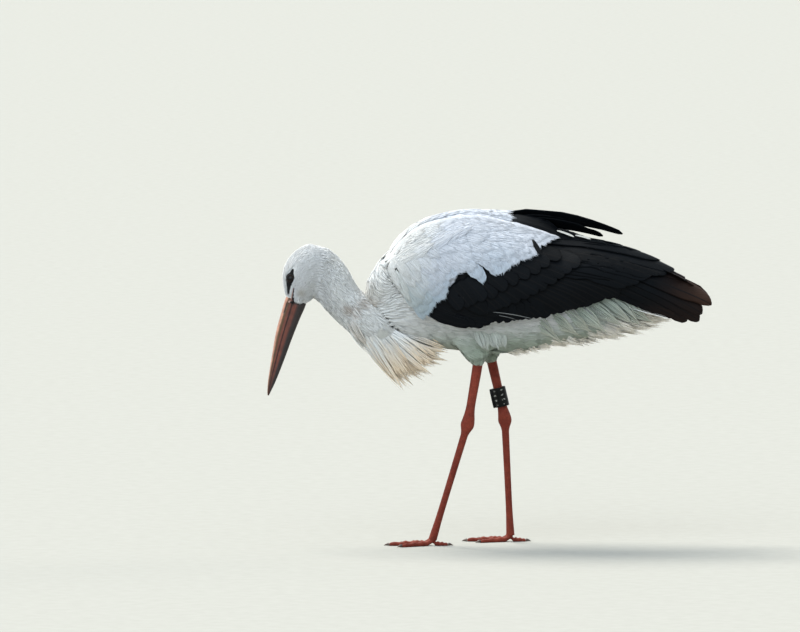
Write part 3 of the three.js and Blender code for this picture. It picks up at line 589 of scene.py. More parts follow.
def wing_body(side):
    """The inside of a folded wing, a slab that thins towards the rear."""
    stops, columns = np.linspace(WING[0][0] + 4, 292, 50), 15
    rows = len(stops)
    low, top = wing_rows(side, stops)[:2]
    trim = 12 * smoothstep(-60, 20, stops)
    z = mix((low + trim + 2)[:, None], (top - trim - 2)[:, None], np.linspace(0, 1, columns))
    x = np.broadcast_to(stops[:, None], z.shape)
    thick = np.where(stops < 100, 26, mix(26, 4.5, smoothstep(100, 170, stops)))[:, None]
    depths = (COAT_DEPTH["wing"], COAT_DEPTH["wing"] + thick)
    points = np.concatenate([sheet(side, x, z, -depth).reshape(-1, 3) for depth in depths])
    under = rows * columns
    faces = []
    for quad in patches(rows, columns):
        faces += [quad, tuple(v + under for v in reversed(quad))]
    rim = [(0, c) for c in range(columns)] + [(r, columns - 1) for r in range(1, rows)]
    rim += [(rows - 1, c) for c in range(columns - 2, -1, -1)] + [(r, 0) for r in range(rows - 2, 0, -1)]
    ids = [r * columns + c for r, c in rim]
    faces += [(b, a, a + under, b + under) for a, b in zip(ids, ids[1:] + ids[:1])]
    return points, faces


skin = remeshed(mesh_object("skin", *joined(skin_shapes())), 3.0, 8)
skin_points = points_of(skin.data)
skin.data.calc_loop_triangles()
skin_triangles = np.array([t.vertices[:] for t in skin.data.loop_triangles])
corners = skin_points[skin_triangles]
face_cross = np.cross(corners[:, 1] - corners[:, 0], corners[:, 2] - corners[:, 0])
face_area = np.linalg.norm(face_cross, axis=1) / 2
vertex_normal = np.zeros_like(skin_points)
for k in range(3):
    np.add.at(vertex_normal, skin_triangles[:, k], face_cross)
vertex_normal = unit(vertex_normal)
face_normal = unit(vertex_normal[skin_triangles].mean(1))
skin_tree = BVHTree.FromPolygons([tuple(p) for p in skin_points], [tuple(t) for t in skin_triangles])


def nearest(points):
    """The skin's points nearest to these, and its smooth normals there."""
    flat = points.reshape(-1, 3)
    found = [skin_tree.find_nearest(p) for p in flat]
    place = np.array([f[0][:] for f in found])
    normal = face_normal[[f[2] for f in found]]
    return place.reshape(points.shape), normal.reshape(points.shape)


# ---------------------------------------------------------------- lie of the coat

# The bird's middle line from the bill's base to the tail, [x, z], for the lie and the map.
SPINE = np.array([
    (-338, 428), (-331, 455), (-322, 482), (-303, 484), (-287, 466), (-267, 440), (-248, 417),
    (-216, 400), (-170, 425), (-110, 448), (0, 457), (100, 446), (200, 424), (330, 396),
], float)
SPINE_STOPS = np.r_[0, np.cumsum(np.linalg.norm(np.diff(SPINE, axis=0), axis=1))]
EVEN_STOPS = np.linspace(0, SPINE_STOPS[-1], 160)
SPINE_POINTS = np.stack([np.interp(EVEN_STOPS, SPINE_STOPS, SPINE[:, k]) for k in (0, 1)], axis=1)
SPINE_AHEAD = unit(np.gradient(SPINE_POINTS, axis=0))
# Shares of the way along the spine where the head ends and where the neck enters the body.
HEAD_END, NECK_SHARE = SPINE_STOPS[3] / SPINE_STOPS[-1], SPINE_STOPS[7] / SPINE_STOPS[-1]
NECK_MOUTH = np.array([-212.0, 0.0, 402.0])  # where the coat of the body spreads from
WING_SPREAD = np.array([-222.0, 586.0])  # where the wing's coverts spread from, [x, z]


def spine_place(points):
    """Share of the way along the middle line, and the angle round it."""
    flat = points.reshape(-1, 3)
    gap = flat[:, None, [0, 2]] - SPINE_POINTS
    k = np.hypot(gap[..., 0], gap[..., 1]).argmin(1)
    ahead, away = SPINE_AHEAD[k], flat[:, [0, 2]] - SPINE_POINTS[k]
    up = ahead[:, 0] * away[:, 1] - ahead[:, 1] * away[:, 0]
    shape = points.shape[:-1]
    return (k / (len(SPINE_POINTS) - 1)).reshape(shape), np.arctan2(flat[:, 1], up).reshape(shape)


def on_wing(points):
    """How far points belong to a folded wing's outer face, from 0 to 1."""
    x, y, z = np.moveaxis(points, -1, 0)
    low, top, *halves = wing_rows(y, x)
    u = (z - LEAN * np.abs(y) - low) / (top - low)
    close = smoothstep(26, 14, half_width(*halves, u) - np.abs(y))
    return close * smoothstep(-0.06, 0.04, u) * smoothstep(1.02, 0.86, u) * smoothstep(-186, -150, x)


def lie(points):
    """The direction in which the coat lies, before it is laid flat on the skin."""
    flat = points.reshape(-1, 3)
    gap = flat[:, None, [0, 2]] - SPINE_POINTS
    near = np.exp(-(gap**2).sum(-1) / (2 * 20.0**2))
    near[:, int(NECK_SHARE * len(SPINE_POINTS)):] = 0
    blended = (near[..., None] * SPINE_AHEAD).sum(1) / np.maximum(near.sum(1), 1e-9)[:, None]
    along_neck = np.stack([blended[:, 0], np.zeros(len(flat)), blended[:, 1]], axis=1)
    spread = unit(flat - NECK_MOUTH)
    back = smoothstep(-215, -70, flat[:, 0])[:, None]
    body = unit(mix(spread, np.array([1.0, 0, -0.10]), back))
    x, z = flat[:, 0], flat[:, 2]
    fan = unit(np.stack([x - WING_SPREAD[0], np.zeros(len(flat)), z - WING_SPREAD[1]], axis=1))
    body = unit(mix(body, fan, on_wing(flat)[:, None]))
    neck_share = smoothstep(-196, -232, x - 0.5 * (z - 400))[:, None]
    found = unit(mix(body, unit(along_neck + np.array([1e-4, 0, 0])), neck_share))
    thigh = smoothstep(352, 338, z)[:, None] * (np.abs(flat[:, 1:2]) > 14)
    found = unit(mix(found, np.array([0.25, 0, -1.0]), thigh))
    return found.reshape(points.shape)


def flatten(direction, normal):
    return unit(direction - (direction * normal).sum(-1, keepdims=True) * normal)


def unwrap(points):
    """A place for each point on a flat map of the skin: the body with head and neck rolled
    out along the middle line, and the outer face of each wing by itself."""
    share, angle = spine_place(points)
    body = np.stack([0.02 + 0.96 * share, 0.70 + 0.26 * angle / np.pi], axis=-1)
    x, y, z = np.moveaxis(points, -1, 0)
    u = 0.02 + 0.44 * (x + 190) / 600 + 0.5 * (y > 0)
    v = 0.02 + 0.36 * (z - 370) / 240
    wing = np.stack([u, v], axis=-1)
    return np.where((on_wing(points) > 0.5)[..., None], wing, body)


# ---------------------------------------------------------------- feathers

BAKE_PATCH = 0.003  # side of a tuft's patch on the map


class Coat:
    """Gathers feathers of one kind of finish and makes one mesh of them. soft is how far they
    shade like one surface, from 0 to 1."""

    def __init__(self, name, soft=0.65):
        self.name, self.soft, self.count = name, soft, 0
        self.points, self.triangles, self.vane, self.bake, self.tint, self.normals = ([] for _ in range(6))

    def add(self, points, triangles, vane, root, tint, patch=BAKE_PATCH, normals=None):
        """points are (feathers, points of one, 3); triangles and vane belong to one feather.
        normals are given for soft plumage, which shades like one surface."""
        number, each = points.shape[:2]
        starts = self.count + np.arange(number) * each
        vane = np.broadcast_to(vane, (number, each, 2))
        bake = unwrap(root)[:, None] + patch * (vane - 0.5)
        self.points.append(points.reshape(-1, 3))
        self.triangles.append((triangles[None] + starts[:, None, None]).reshape(-1, 3))
        self.vane.append(vane.reshape(-1, 2))
        self.bake.append(bake.reshape(-1, 2))
        self.tint.append(np.broadcast_to(tint, points.shape).reshape(-1, 3))
        if normals is not None:
            self.normals.append(normals.reshape(-1, 3))
        self.count += number * each

    def build(self, *nodes, colour="white"):
        points = np.concatenate(self.points)
        made = triangle_object(self.name, points, np.concatenate(self.triangles))
        for name, values in (("Vane", self.vane), ("OFBake", self.bake)):
            write_map(made, name, np.concatenate(values))
        if self.normals:
            own = np.empty(points.size, np.float32)
            made.data.vertex_normals.foreach_get("vector", own)
            ways = mix(own.reshape(-1, 3), unit(np.concatenate(self.normals)), self.soft)
            made.data.normals_split_custom_set_from_vertices(unit(ways))
        set_tint(made, np.concatenate(self.tint))
        return finish(made, FEATHERS[colour], f"{colour}_feathers", *nodes)


def lens(rows, columns):
    """Triangles of a thin closed blade: a grid of points over a smaller grid that shares its
    rim. Points are the upper grid and then the inner points of the lower one."""
    upper = np.arange(rows * columns).reshape(rows, columns)
    lower = upper.copy()
    lower[1:-1, 1:-1] = rows * columns + np.arange((rows - 2) * (columns - 2)).reshape(rows - 2, -1)
    faces = []
    for grid, flip in ((upper, False), (lower, True)):
        for r in range(rows - 1):
            for c in range(columns - 1):
                a, b, d, e = grid[r, c], grid[r, c + 1], grid[r + 1, c], grid[r + 1, c + 1]
                pair = [(a, d, e), (a, e, b)]
                faces += [t[::-1] for t in pair] if flip else pair
    return np.array(faces)


def both_faces(upper, lower):
    """The points of lens, from grids (feathers, rows, columns, 3) for both its faces."""
    parts = (upper, lower[:, 1:-1, 1:-1])
    return np.concatenate([part.reshape(len(upper), -1, 3) for part in parts], axis=1)


def lens_map(across, stations):
    grid = np.stack(np.broadcast_arrays(across, np.asarray(stations)[:, None]), axis=-1)
    return np.concatenate([grid.reshape(-1, 2), grid[1:-1, 1:-1].reshape(-1, 2)])


def follow(root, heading, length, stations):
    """Lays a line along the skin from each root: places, normals and directions at stations."""
    place, normal = nearest(root)
    direction = flatten(heading, normal)
    out = [(place, normal, direction)]
    for step in np.diff(stations):
        place, normal = nearest(place + direction * (length * step)[:, None])
        direction = flatten(direction, normal)
        direction = flatten(mix(direction, flatten(lie(place), normal), 0.5), normal)
        out.append((place, normal, direction))
    return tuple(np.stack(part, axis=1) for part in zip(*out))


def shade_of(tint, each, share, fade):
    """One tint for each feather, turned towards a second colour by its tip."""
    tints = np.repeat(tint[:, None], each, axis=1)
    if fade is not None:
        colour, amount = fade
        tints = mix(tints, colour, (amount * smoothstep(0.3, 1, share))[None, :, None])
    return tints


def lock_faces(rings):
    """Triangles of a three-sided lock with a point at each end."""
    faces = []
    for r in range(rings - 1):
        for i in range(3):
            a, b = 1 + r * 3 + i, 1 + r * 3 + (i + 1) % 3
            faces += [(a, b, b + 3), (a, b + 3, a + 3)]
    last = 1 + rings * 3
    for i in range(3):
        a, b = i + 1, (i + 1) % 3 + 1
        faces += [(0, b, a), (last, last - 3 + i, last - 3 + (i + 1) % 3)]
    return np.array(faces)


LOCK_ROUND = 0.4  # how far a lock's sides shade away from the surface under it


def locks(coat, place, normal, along, width, shares, height, tint, root, fade=None, ridge=0.28):
    """Narrow tapered tufts along given lines (tufts, stations, 3); the ends are points."""
    number, rows = place.shape[:2]
    across = np.cross(normal, along)
    half = (width / 2)[:, None] * shares
    centre = place + normal * height[..., None]
    left = centre - across * half[..., None]
    right = centre + across * half[..., None]
    crest = centre + normal * (ridge * 2 * half)[..., None]
    rings = np.stack([left, right, crest], axis=2)[:, 1:-1].reshape(number, -1, 3)
    each = np.concatenate([centre[:, :1], rings, centre[:, -1:]], axis=1)
    stations = np.linspace(0, 1, rows)
    ring_map = [(u, s) for s in stations[1:-1] for u in (0.1, 0.9, 0.5)]
    vane = np.array([(0.5, 0.0), *ring_map, (0.5, 1.0)])
    tints = shade_of(tint, each.shape[1], vane[:, 1], fade)
    normal = np.broadcast_to(normal, place.shape)
    ways = np.stack([normal - across * LOCK_ROUND, normal + across * LOCK_ROUND, normal], axis=2)
    ways = np.concatenate([normal[:, :1], ways[:, 1:-1].reshape(number, -1, 3), normal[:, -1:]], axis=1)
    coat.add(each, lock_faces(rows - 2), vane, root, tints, normals=ways)


def straying(root, normal, stray):
    """The lie of the coat at the roots, turned a little at random about the normal."""
    heading = flatten(lie(root), normal)
    angle = rng.normal(0, stray, len(root))
    c, s = np.cos(angle)[..., None], np.sin(angle)[..., None]
    return heading * c + np.cross(normal, heading) * s


def tufts(coat, root, length, width, lift, tint, *, rows=4, stray=0.12, ridge=0.2):
    """Small feathers along the skin, each one lock."""
    heading = straying(root, nearest(root)[1], stray)
    stations = np.linspace(0, 1, rows)
    place, normal, along = follow(root, heading, length, stations)
    height = lift[0] + (lift[1] - lift[0]) * stations * np.ones((len(root), 1))
    height += rng.normal(0, 0.12, (len(root), 1)) * stations * abs(lift[1])
    shares = np.array([0, *np.linspace(1, 0.7, rows - 2), 0])
    locks(coat, place, normal, along, width, shares, height, tint, root, ridge=ridge)


def part_strands(coat, place, normal, along, width, strands, lift, tint, *, fan, fade=None):
    """Splits a feather along each given line (feathers, stations, 3) into pointed strands."""
    number, rows = place.shape[:2]
    stations = np.linspace(0, 1, rows)
    root = place[:, 0]
    height = mix(lift[0], lift[1], stations) * np.ones((number, 1))
    across = np.cross(normal, along)
    outline = np.sin(np.pi * np.clip(0.12 + 0.80 * stations, 0, 1)) ** 0.7
    for j in range(strands):
        c = 2 * j / (strands - 1) - 1 + rng.normal(0, 0.10, (number, 1))
        splay = outline + fan * stations**2
        shift = c * (width / 2)[:, None] * splay
        own = 1 - 0.16 * np.abs(c) - 0.10 * rng.random((number, 1))
        shrink = place[:, :1] + (place - place[:, :1]) * own[..., None]
        line = shrink + across * shift[..., None]
        step = height - 0.10 * np.abs(shift) + rng.normal(0, 0.25, (number, 1)) * stations
        shares = np.array([0, *np.linspace(1, 0.55, rows - 2), 0])
        strand_width = width / strands * 1.75 * (1 + 0.15 * rng.normal(size=number))
        tone = tint * (1 + 0.05 * rng.normal(size=(number, 1)))
        locks(coat, line, normal, along, strand_width, shares, step, tone, root, fade, ridge=0.2)


def scatter(spacing, allow):
    """Even but irregular roots on the skin, spacing mm apart, where allow(points)."""
    middles = corners.mean(1)
    wanted = allow(middles)
    gap = spacing(middles) if callable(spacing) else np.full(len(middles), spacing)
    expected = np.where(wanted, face_area / gap**2 * 2.6, 0)
    number = rng.poisson(expected)
    which = np.repeat(np.arange(len(number)), number)
    a, b = rng.random((2, len(which)))
    flip = a + b > 1
    a, b = np.where(flip, 1 - a, a), np.where(flip, 1 - b, b)
    base = corners[which]
    found = base[:, 0] + a[:, None] * (base[:, 1] - base[:, 0]) + b[:, None] * (base[:, 2] - base[:, 0])
    order = rng.permutation(len(found))
    found, gap, normal = found[order], gap[which][order], face_normal[which][order]
    cell = float(gap.max())
    grid, kept = {}, []
    keys = np.floor(found / cell).astype(int)
    near = [(i, j, k) for i in (-1, 0, 1) for j in (-1, 0, 1) for k in (-1, 0, 1)]
    for n, ((i, j, k), (x, y, z), own) in enumerate(zip(keys.tolist(), found.tolist(), gap.tolist())):
        limit = (0.82 * own) ** 2
        around = (p for di, dj, dk in near for p in grid.get((i + di, j + dj, k + dk), ()))
        if all((px - x) ** 2 + (py - y) ** 2 + (pz - z) ** 2 >= limit for px, py, pz in around):
            grid.setdefault((i, j, k), []).append((x, y, z))
            kept.append(n)
    return found[kept], normal[kept]


# ---------------------------------------------------------------- materials


def feather_material(name, rough, streak, bump, sheen=0.0, specular=0.3, shaft=None, glow=0.0):
    """Barbs run from the shaft to the edges and towards the tip, over the feather's own map."""
    m = Nodes(name)
    u, v, _ = m.parts(m.map("Vane"))
    aside = m.times(m.math("ABSOLUTE", m.math("SUBTRACT", u, 0.5)), 2.0)
    barb = m.math("SUBTRACT", v, m.times(aside, 0.22))
    seat = m.seat()
    x, _, z = m.parts(seat)
    own = m.times(m.plus(x, z), 9.0)
    lines = m.node("ShaderNodeCombineXYZ", {0: m.times(barb, 34.0), 1: aside, 2: own}).outputs[0]
    fine, soft = m.noise(1.0, lines, 4.0, 0.7), m.noise(60.0, seat, 2.0, 0.5)
    tone = m.blend(m.grey(fine, (0.25, 1 - streak), (0.75, 1.0)), m.grey(soft, (0.3, 0.93), (0.7, 1.0)))
    colour = m.blend(m.tint(), tone)
    if shaft is not None:
        line = m.grey(aside, (0.0, 0.9), (0.055, 0.75), (0.075, 0.0))
        colour = m.blend(colour, shaft, line, "MIX")
    relief = m.plus(m.times(fine, 0.8), m.times(soft, 0.5))
    return m.set(
        Base_Color=colour, Roughness=rough, Normal=m.bump(relief, bump, 0.0012), Specular_IOR_Level=specular,
        Sheen_Weight=sheen, Sheen_Roughness=0.5, Subsurface_Weight=glow, Subsurface_Scale=0.009,
        Subsurface_Radius=(1.0, 0.92, 0.8),
    )


def down_material(name):
    """The close feathering right on the skin, between the tufts."""
    m = Nodes(name)
    fine = m.noise(1.0, m.scaled(m.seat(), (220.0, 420.0, 420.0)), 4.0, 0.65)
    return m.set(
        Base_Color=m.blend(m.tint(), m.grey(fine, (0.3, 0.62), (0.7, 0.95))), Roughness=0.9,
        Normal=m.bump(fine, 0.6, 0.0015), Specular_IOR_Level=0.15, Sheen_Weight=0.15,
    )


BARE_BLACK = (0.0045, 0.0045, 0.005)  # shafts and eyelids
FEATHERS = {
    "white": feather_material("white_feathers", 0.85, 0.08, 0.14, sheen=0.15, specular=0.12, glow=0.45),
    "black": feather_material("black_feathers", 0.55, 0.40, 0.4, specular=0.055, shaft=BARE_BLACK),
}


def dark_zone(points):
    """1 where the folded wing's skin carries black feathers, 0 elsewhere."""
    x, z = points[:, 0], points[:, 2] - LEAN * np.abs(points[:, 1])
    back = (x > 40) & (z > 470) | (x > 215) & (z > 425)
    return ~inside(x, z, WHITE_ZONE) & ((on_wing(points) > 0.5) | back)


skin_colour = markings_and_painted_light(skin_points)
skin_colour[dark_zone(skin_points)] = BLACK
set_tint(skin, skin_colour * 0.95)
finish(
    skin, down_material("down"), "white_feathers", "torso", "neck_upper", "neck_lower", "head",
    "thigh_left", "thigh_right",
)

# ---------------------------------------------------------------- bare skin of the face

# Bare black skin round the eye, in the head's frame: [angle from the bill, reach in mm].
PATCH_CENTRE = (-33.0, 16.5)
PATCH = Smooth([
    [0, 32], [9, 20], [28, 12.5], [55, 10], [90, 10], [130, 9.6], [160, 11], [182, 19.5],
    [200, 11], [228, 8.6], [270, 8.2], [318, 10], [343, 18], [353, 35], [360, 32],
])
GAPE = {"front": 5.0, "back": -20.0, "level": 5.5, "half": 3.0}  # pinkish skin behind the mouth


def on_patch(points, margin=0.0):
    """True for points over the bare skin round either eye or behind the mouth."""
    along, level, side = head_place(points)
    east, north = along - PATCH_CENTRE[0], level - PATCH_CENTRE[1]
    angle = np.degrees(np.arctan2(north, east)) % 360
    hit = np.hypot(east, north) < PATCH(angle)[..., 0] + margin
    share = (along - GAPE["back"]) / (GAPE["front"] - GAPE["back"])
    narrow = GAPE["half"] * np.sqrt(np.clip(share, 0, 1)) + margin
    hit |= (share > -0.02) & (share < 1.3) & (np.abs(level - GAPE["level"]) < narrow)
    return hit & (np.abs(side) > 6)


def cast(along, level, side):
    """How far out the skin lies at places on the side of the head."""
    start, inwards = head_point(along, level, side * 60.0), -RIGHT * side
    out = []
    for origin in start.reshape(-1, 3):
        hit = skin_tree.ray_cast(Vector(origin), Vector(inwards))
        out.append(hit[0][:] if hit[0] else tuple(origin + inwards * 42))
    return head_place(np.array(out).reshape(start.shape))[2] * side


def dent(gap, middle, spread):
    return np.exp(-((gap - middle) ** 2) / spread)


def eye_skin(side):
    """Lids and the bare skin round one eye, in rings from the eyeball out under the coat."""
    turns, radii = 96, 15
    angle = np.linspace(0, 360, turns, endpoint=False)
    theta = np.radians(angle)
    opening = 6.3 * (1 - 0.16 * np.abs(np.sin(theta)) ** 1.5)
    share = np.linspace(0, 1, radii) ** 1.25
    reach = opening[:, None] + (PATCH(angle)[:, 0] + 1.2 - opening)[:, None] * share
    centre = np.array([EYE["along"], EYE["level"]])
    shift = np.array(PATCH_CENTRE) - centre
    along = centre[0] + shift[0] * share + reach * np.cos(theta)[:, None]
    level = centre[1] + shift[1] * share + reach * np.sin(theta)[:, None]
    depth = cast(along, level, side)
    from_eye = np.hypot(along - centre[0], level - centre[1])
    ball = EYE["side"] + np.sqrt(np.maximum(EYE["radius"] ** 2 - from_eye**2, 0))
    gap = from_eye - opening[:, None]
    rim = 1.5 * dent(gap, 1.0, 0.9) - 1.1 * dent(gap, 0, 0.08)
    crease = -0.35 * dent(gap, 2.9, 0.35) - 0.25 * dent(gap, 4.6, 0.4)
    wrinkle = 0.12 * np.sin(5 * theta)[:, None] * np.sin(gap * 2.6)
    sink = 1.7 * smoothstep(0.72, 1, share)
    height = mix(np.maximum(ball, depth - 1), depth + 0.7, smoothstep(0.5, 3.2, gap))
    height = height + rim + crease + wrinkle * smoothstep(1.5, 4, gap) - sink
    height[:, 0] = ball[:, 0] - 0.8
    points = head_point(along, level, height * side).reshape(-1, 3)
    return points, patches(turns, radii, close_rows=True, flip=side < 0)


def gape_skin(side):
    """The pinkish skin behind the mouth's corner, a leaf laid on the head."""
    rows, columns = 22, 9
    share, c = np.linspace(0, 1, rows), np.linspace(-1, 1, columns)
    along = mix(GAPE["back"] - 0.5, GAPE["front"] + 3, share)
    half = (GAPE["half"] + 0.8) * np.sqrt(share) * (1 + 0.25 * share) + 0.02
    level = GAPE["level"] + half[:, None] * c - 2.2 * share[:, None]
    along = np.broadcast_to(along[:, None], level.shape)
    edge = np.maximum(np.abs(c)[None], 1 - 3 * share[:, None])
    height = cast(along, level, side) + 1.5 - 2.4 * edge**6 - 0.5 * dent(c, -0.45, 0.02)
    points = head_point(along, level, height * side).reshape(-1, 3)
    tint = mix(GAPE_PINK, GAPE_DARK, smoothstep(0.45, 0.05, c)[None, :, None] * np.ones((rows, 1, 1)))
    return points, patches(rows, columns, flip=side > 0), tint.reshape(-1, 3)


def eyeball(side):
    turns, rings = 48, 22
    polar = np.linspace(0.0, 0.62 * np.pi, rings)
    theta = np.linspace(0, 2 * np.pi, turns, endpoint=False)
    bulge = EYE["radius"] * (1 + 0.035 * smoothstep(0.65, 0.25, polar))
    reach, out = (bulge * np.sin(polar))[:, None], (bulge * np.cos(polar))[:, None]
    points = head_point(
        EYE["along"] + reach * np.cos(theta), EYE["level"] + reach * np.sin(theta),
        side * (EYE["side"] + out * np.ones(turns)),
    ).reshape(-1, 3)
    back, last = len(points), (rings - 1) * turns
    points = np.vstack([points, head_point(EYE["along"], EYE["level"], side * (EYE["side"] - 4))[None]])
    faces = patches(rings, turns, close_columns=True, flip=side < 0)
    faces += [(last + i, last + (i + 1) % turns, back)[::side] for i in range(turns)]
    bulging = (head_place(points)[2] * side - EYE["side"]) / EYE["radius"]
    tint = mix(IRIS, PUPIL, smoothstep(0.86, 0.90, bulging)[:, None])
    return points, faces, mix(tint, EYE_RIM, smoothstep(0.72, 0.66, bulging)[:, None])


def bare_skin_material():
    m = Nodes("bare_skin")
    seat = m.seat()
    grain = m.node("ShaderNodeTexVoronoi", {"Vector": seat, "Scale": 900.0}).outputs["Distance"]
    fold = m.noise(420.0, seat)
    return m.set(
        Base_Color=m.blend(m.tint(), m.grey(fold, (0.3, 0.7), (0.7, 1.15))), Roughness=0.75,
        Normal=m.bump(m.plus(grain, fold), 0.4, 0.0006), Specular_IOR_Level=0.15,
    )


def eye_material():
    m = Nodes("eye")
    fibre = m.noise(900.0, m.seat(), 2.0)
    return m.set(
        Base_Color=m.blend(m.tint(), m.grey(fibre, (0.3, 0.75), (0.7, 1.2))), Roughness=0.12,
        Specular_IOR_Level=0.12, Coat_Weight=0.08, Coat_Roughness=0.03,
    )


GAPE_PINK, GAPE_DARK = np.array([0.30, 0.19, 0.165]), np.array([0.008, 0.006, 0.006])
IRIS, PUPIL = np.array([0.014, 0.007, 0.005]), np.array([0.003, 0.003, 0.003])
EYE_RIM = np.array([0.01, 0.006, 0.005])
bare_finish, eye_finish = bare_skin_material(), eye_material()


def tinted_piece(name, points, faces, tint):
    made = mesh_object(name, points, faces)
    set_tint(made, tint)
    return made


for side, name in SIDES:
    lids = mesh_object(f"eyelids_{name}", *eye_skin(side))
    lids = applied(lids, ("SUBSURF", {"levels": 1, "render_levels": 1}))
    set_tint(lids, BARE_BLACK)
    finish(lids, bare_finish, "claw")
for side, name in SIDES:
    finish(tinted_piece(f"gape_{name}", *gape_skin(side)), bare_finish, "bill")
for side, name in SIDES:
    finish(tinted_piece(f"eyeball_{name}", *eyeball(side)), eye_finish, "eye", f"eye_{name}")

# ---------------------------------------------------------------- bill

BILL_RED = np.array([0.125, 0.026, 0.012])
BILL_OLIVE = np.array([0.056, 0.034, 0.008])
# Pink over the upper mandible's upper side: a painted highlight.
BILL_PINK_HIGHLIGHT = np.array([0.44, 0.22, 0.150])
BILL_DARK = np.array([0.016, 0.010, 0.010])
NOSTRIL = {"from": 9.0, "to": 31.0, "level": 12.8, "half": 1.25}


BILL_GRID = (150, 36)  # rows along the bill, points round each of its halves


def mandible(upper):
    rows, columns = BILL_GRID
    along = np.concatenate([np.linspace(-14, 150, 118), np.linspace(151, 175.5, rows - 118)])
    culmen, mouth, keel, half = Smooth(BILL)(along).T
    sign = 1 if upper else -1
    reach = np.abs((culmen if upper else keel) - mouth)
    angle = np.linspace(0, np.pi, columns)
    rise, side, ahead = np.sin(angle) ** 0.85, np.cos(angle), along[:, None]
    level = (mouth + sign * MOUTH_GAP / 2)[:, None] + sign * reach[:, None] * rise
    wide = half[:, None] * side
    if upper:
        # A groove runs forward from each nostril, under the ridge of the culmen.
        groove = np.exp(-((rise - 0.70) / 0.10) ** 2) * smoothstep(120, 20, ahead)
        wide = wide * (1 - 0.10 * groove)
        slit = (np.exp(-(((level - NOSTRIL["level"]) / NOSTRIL["half"]) ** 2))
                * (smoothstep(NOSTRIL["from"], NOSTRIL["from"] + 3, ahead)
                   * smoothstep(NOSTRIL["to"], NOSTRIL["to"] - 4, ahead)))
        wide = wide - np.sign(side) * 3.2 * slit
    lip = 0.5 * np.exp(-((rise / 0.10) ** 2)) * smoothstep(-5, 20, ahead)
    wide = wide + np.sign(side) * lip
    ripple = 0.06 * np.sin(ahead * 0.9 + 3 * np.sin(angle * 3)) * smoothstep(60, 0, ahead)
    level = level + sign * ripple * rise
    points = head_point(np.broadcast_to(ahead, level.shape), level, wide).reshape(-1, 3)
    faces = patches(rows, columns, close_columns=True, flip=not upper)
    caps = [tuple(range(columns)), tuple((rows - 1) * columns + c for c in reversed(range(columns)))]
    faces += [cap if upper else cap[::-1] for cap in caps]
    if upper:
        ridge = smoothstep(0.86, 1.0, rise)
        middle = smoothstep(0.22, 0.40, rise) * smoothstep(0.72, 0.52, rise)
        layers = [
            # the pink over the upper side is a painted highlight
            (BILL_PINK_HIGHLIGHT, smoothstep(0.45, 0.75, rise) * (1 - 0.4 * ridge)), (BILL_OLIVE, 0.8 * middle),
            # the dark in the nostril's slit is painted shade
            (BILL_DARK, 0.75 * smoothstep(0.16, 0.0, rise)), (BILL_DARK, np.clip(slit * 1.3, 0, 1)),
            (BILL_DARK, 0.35 * smoothstep(120, 176, ahead)),
        ]
    else:
        layers = [
            # the dark towards the keel is the black skin there and painted shade of the bill's underside
            (BILL_DARK, smoothstep(0.30, 0.62, rise)), (BILL_DARK, smoothstep(11, 5, ahead)),
            (BILL_DARK, 0.8 * smoothstep(0.16, 0.0, rise)), (BILL_DARK, 0.5 * smoothstep(110, 176, ahead)),
        ]
    # The lower mandible's red is a little darker than the upper one's: painted shade.
    tint = BILL_RED * (1 if upper else 0.95) * np.ones((rows, columns, 1))
    for colour, share in layers:
        tint = mix(tint, colour, share[..., None])
    return points, faces, tint.reshape(-1, 3)


def horn_material(name, rough=0.42):
    """Horn with fine lines that run lengthwise, worn paler here and there."""
    m = Nodes(name)
    streak = m.noise(1.0, m.scaled(m.map("Grain"), (3.0, 60.0, 1.0)), 5.0, 0.65)
    blotch = m.noise(95.0, m.seat())
    tone = m.blend(m.grey(streak, (0.3, 0.55), (0.7, 1.3)), m.grey(blotch, (0.35, 0.75), (0.65, 1.15)))
    return m.set(
        Base_Color=m.blend(m.tint(), tone), Roughness=m.grey(streak, (0.3, rough + 0.14), (0.7, rough - 0.05)),
        Normal=m.bump(m.plus(streak, m.times(blotch, 0.6)), 0.45, 0.0008), Specular_IOR_Level=0.42,
    )


horn_finish = horn_material("bill_horn")
for upper, name in ((True, "upper"), (False, "lower")):
    bill = tinted_piece(f"{name}_mandible", *mandible(upper))
    row, column = np.divmod(np.arange(math.prod(BILL_GRID)), BILL_GRID[1])
    write_map(bill, "Grain", np.stack([row / BILL_GRID[0], column / BILL_GRID[1]], axis=1))
    finish(bill, horn_finish, "bill", f"bill_{name}")

# ---------------------------------------------------------------- flight feathers

# Outline of a feather: [share of its length, share of its width].
LONG = [
    (0, 0.40), (0.06, 0.62), (0.14, 0.8), (0.24, 0.93), (0.36, 1), (0.48, 1), (0.6, 0.99),
    (0.7, 0.96), (0.79, 0.9), (0.86, 0.8), (0.92, 0.64), (0.965, 0.42), (0.99, 0.2), (1, 0.06),
]
ROUND = [
    (0, 0.40), (0.15, 0.66), (0.32, 0.88), (0.5, 1), (0.68, 1), (0.82, 0.9), (0.92, 0.68),
    (0.98, 0.36), (1, 0.12),
]
BLUNT = LONG[:9] + [(0.87, 0.86), (0.93, 0.76), (0.97, 0.58), (0.99, 0.36), (1, 0.12)]
SLIM = [
    (0, 0.5), (0.1, 0.8), (0.22, 0.97), (0.36, 1), (0.5, 1), (0.62, 0.95), (0.74, 0.8),
    (0.84, 0.62), (0.92, 0.52), (0.97, 0.42), (1, 0.14),
]
FLUFFY = [
    (0, 0.45), (0.15, 0.7), (0.32, 0.92), (0.5, 1), (0.68, 1), (0.82, 0.96), (0.92, 0.83),
    (0.98, 0.6), (1, 0.34),
]
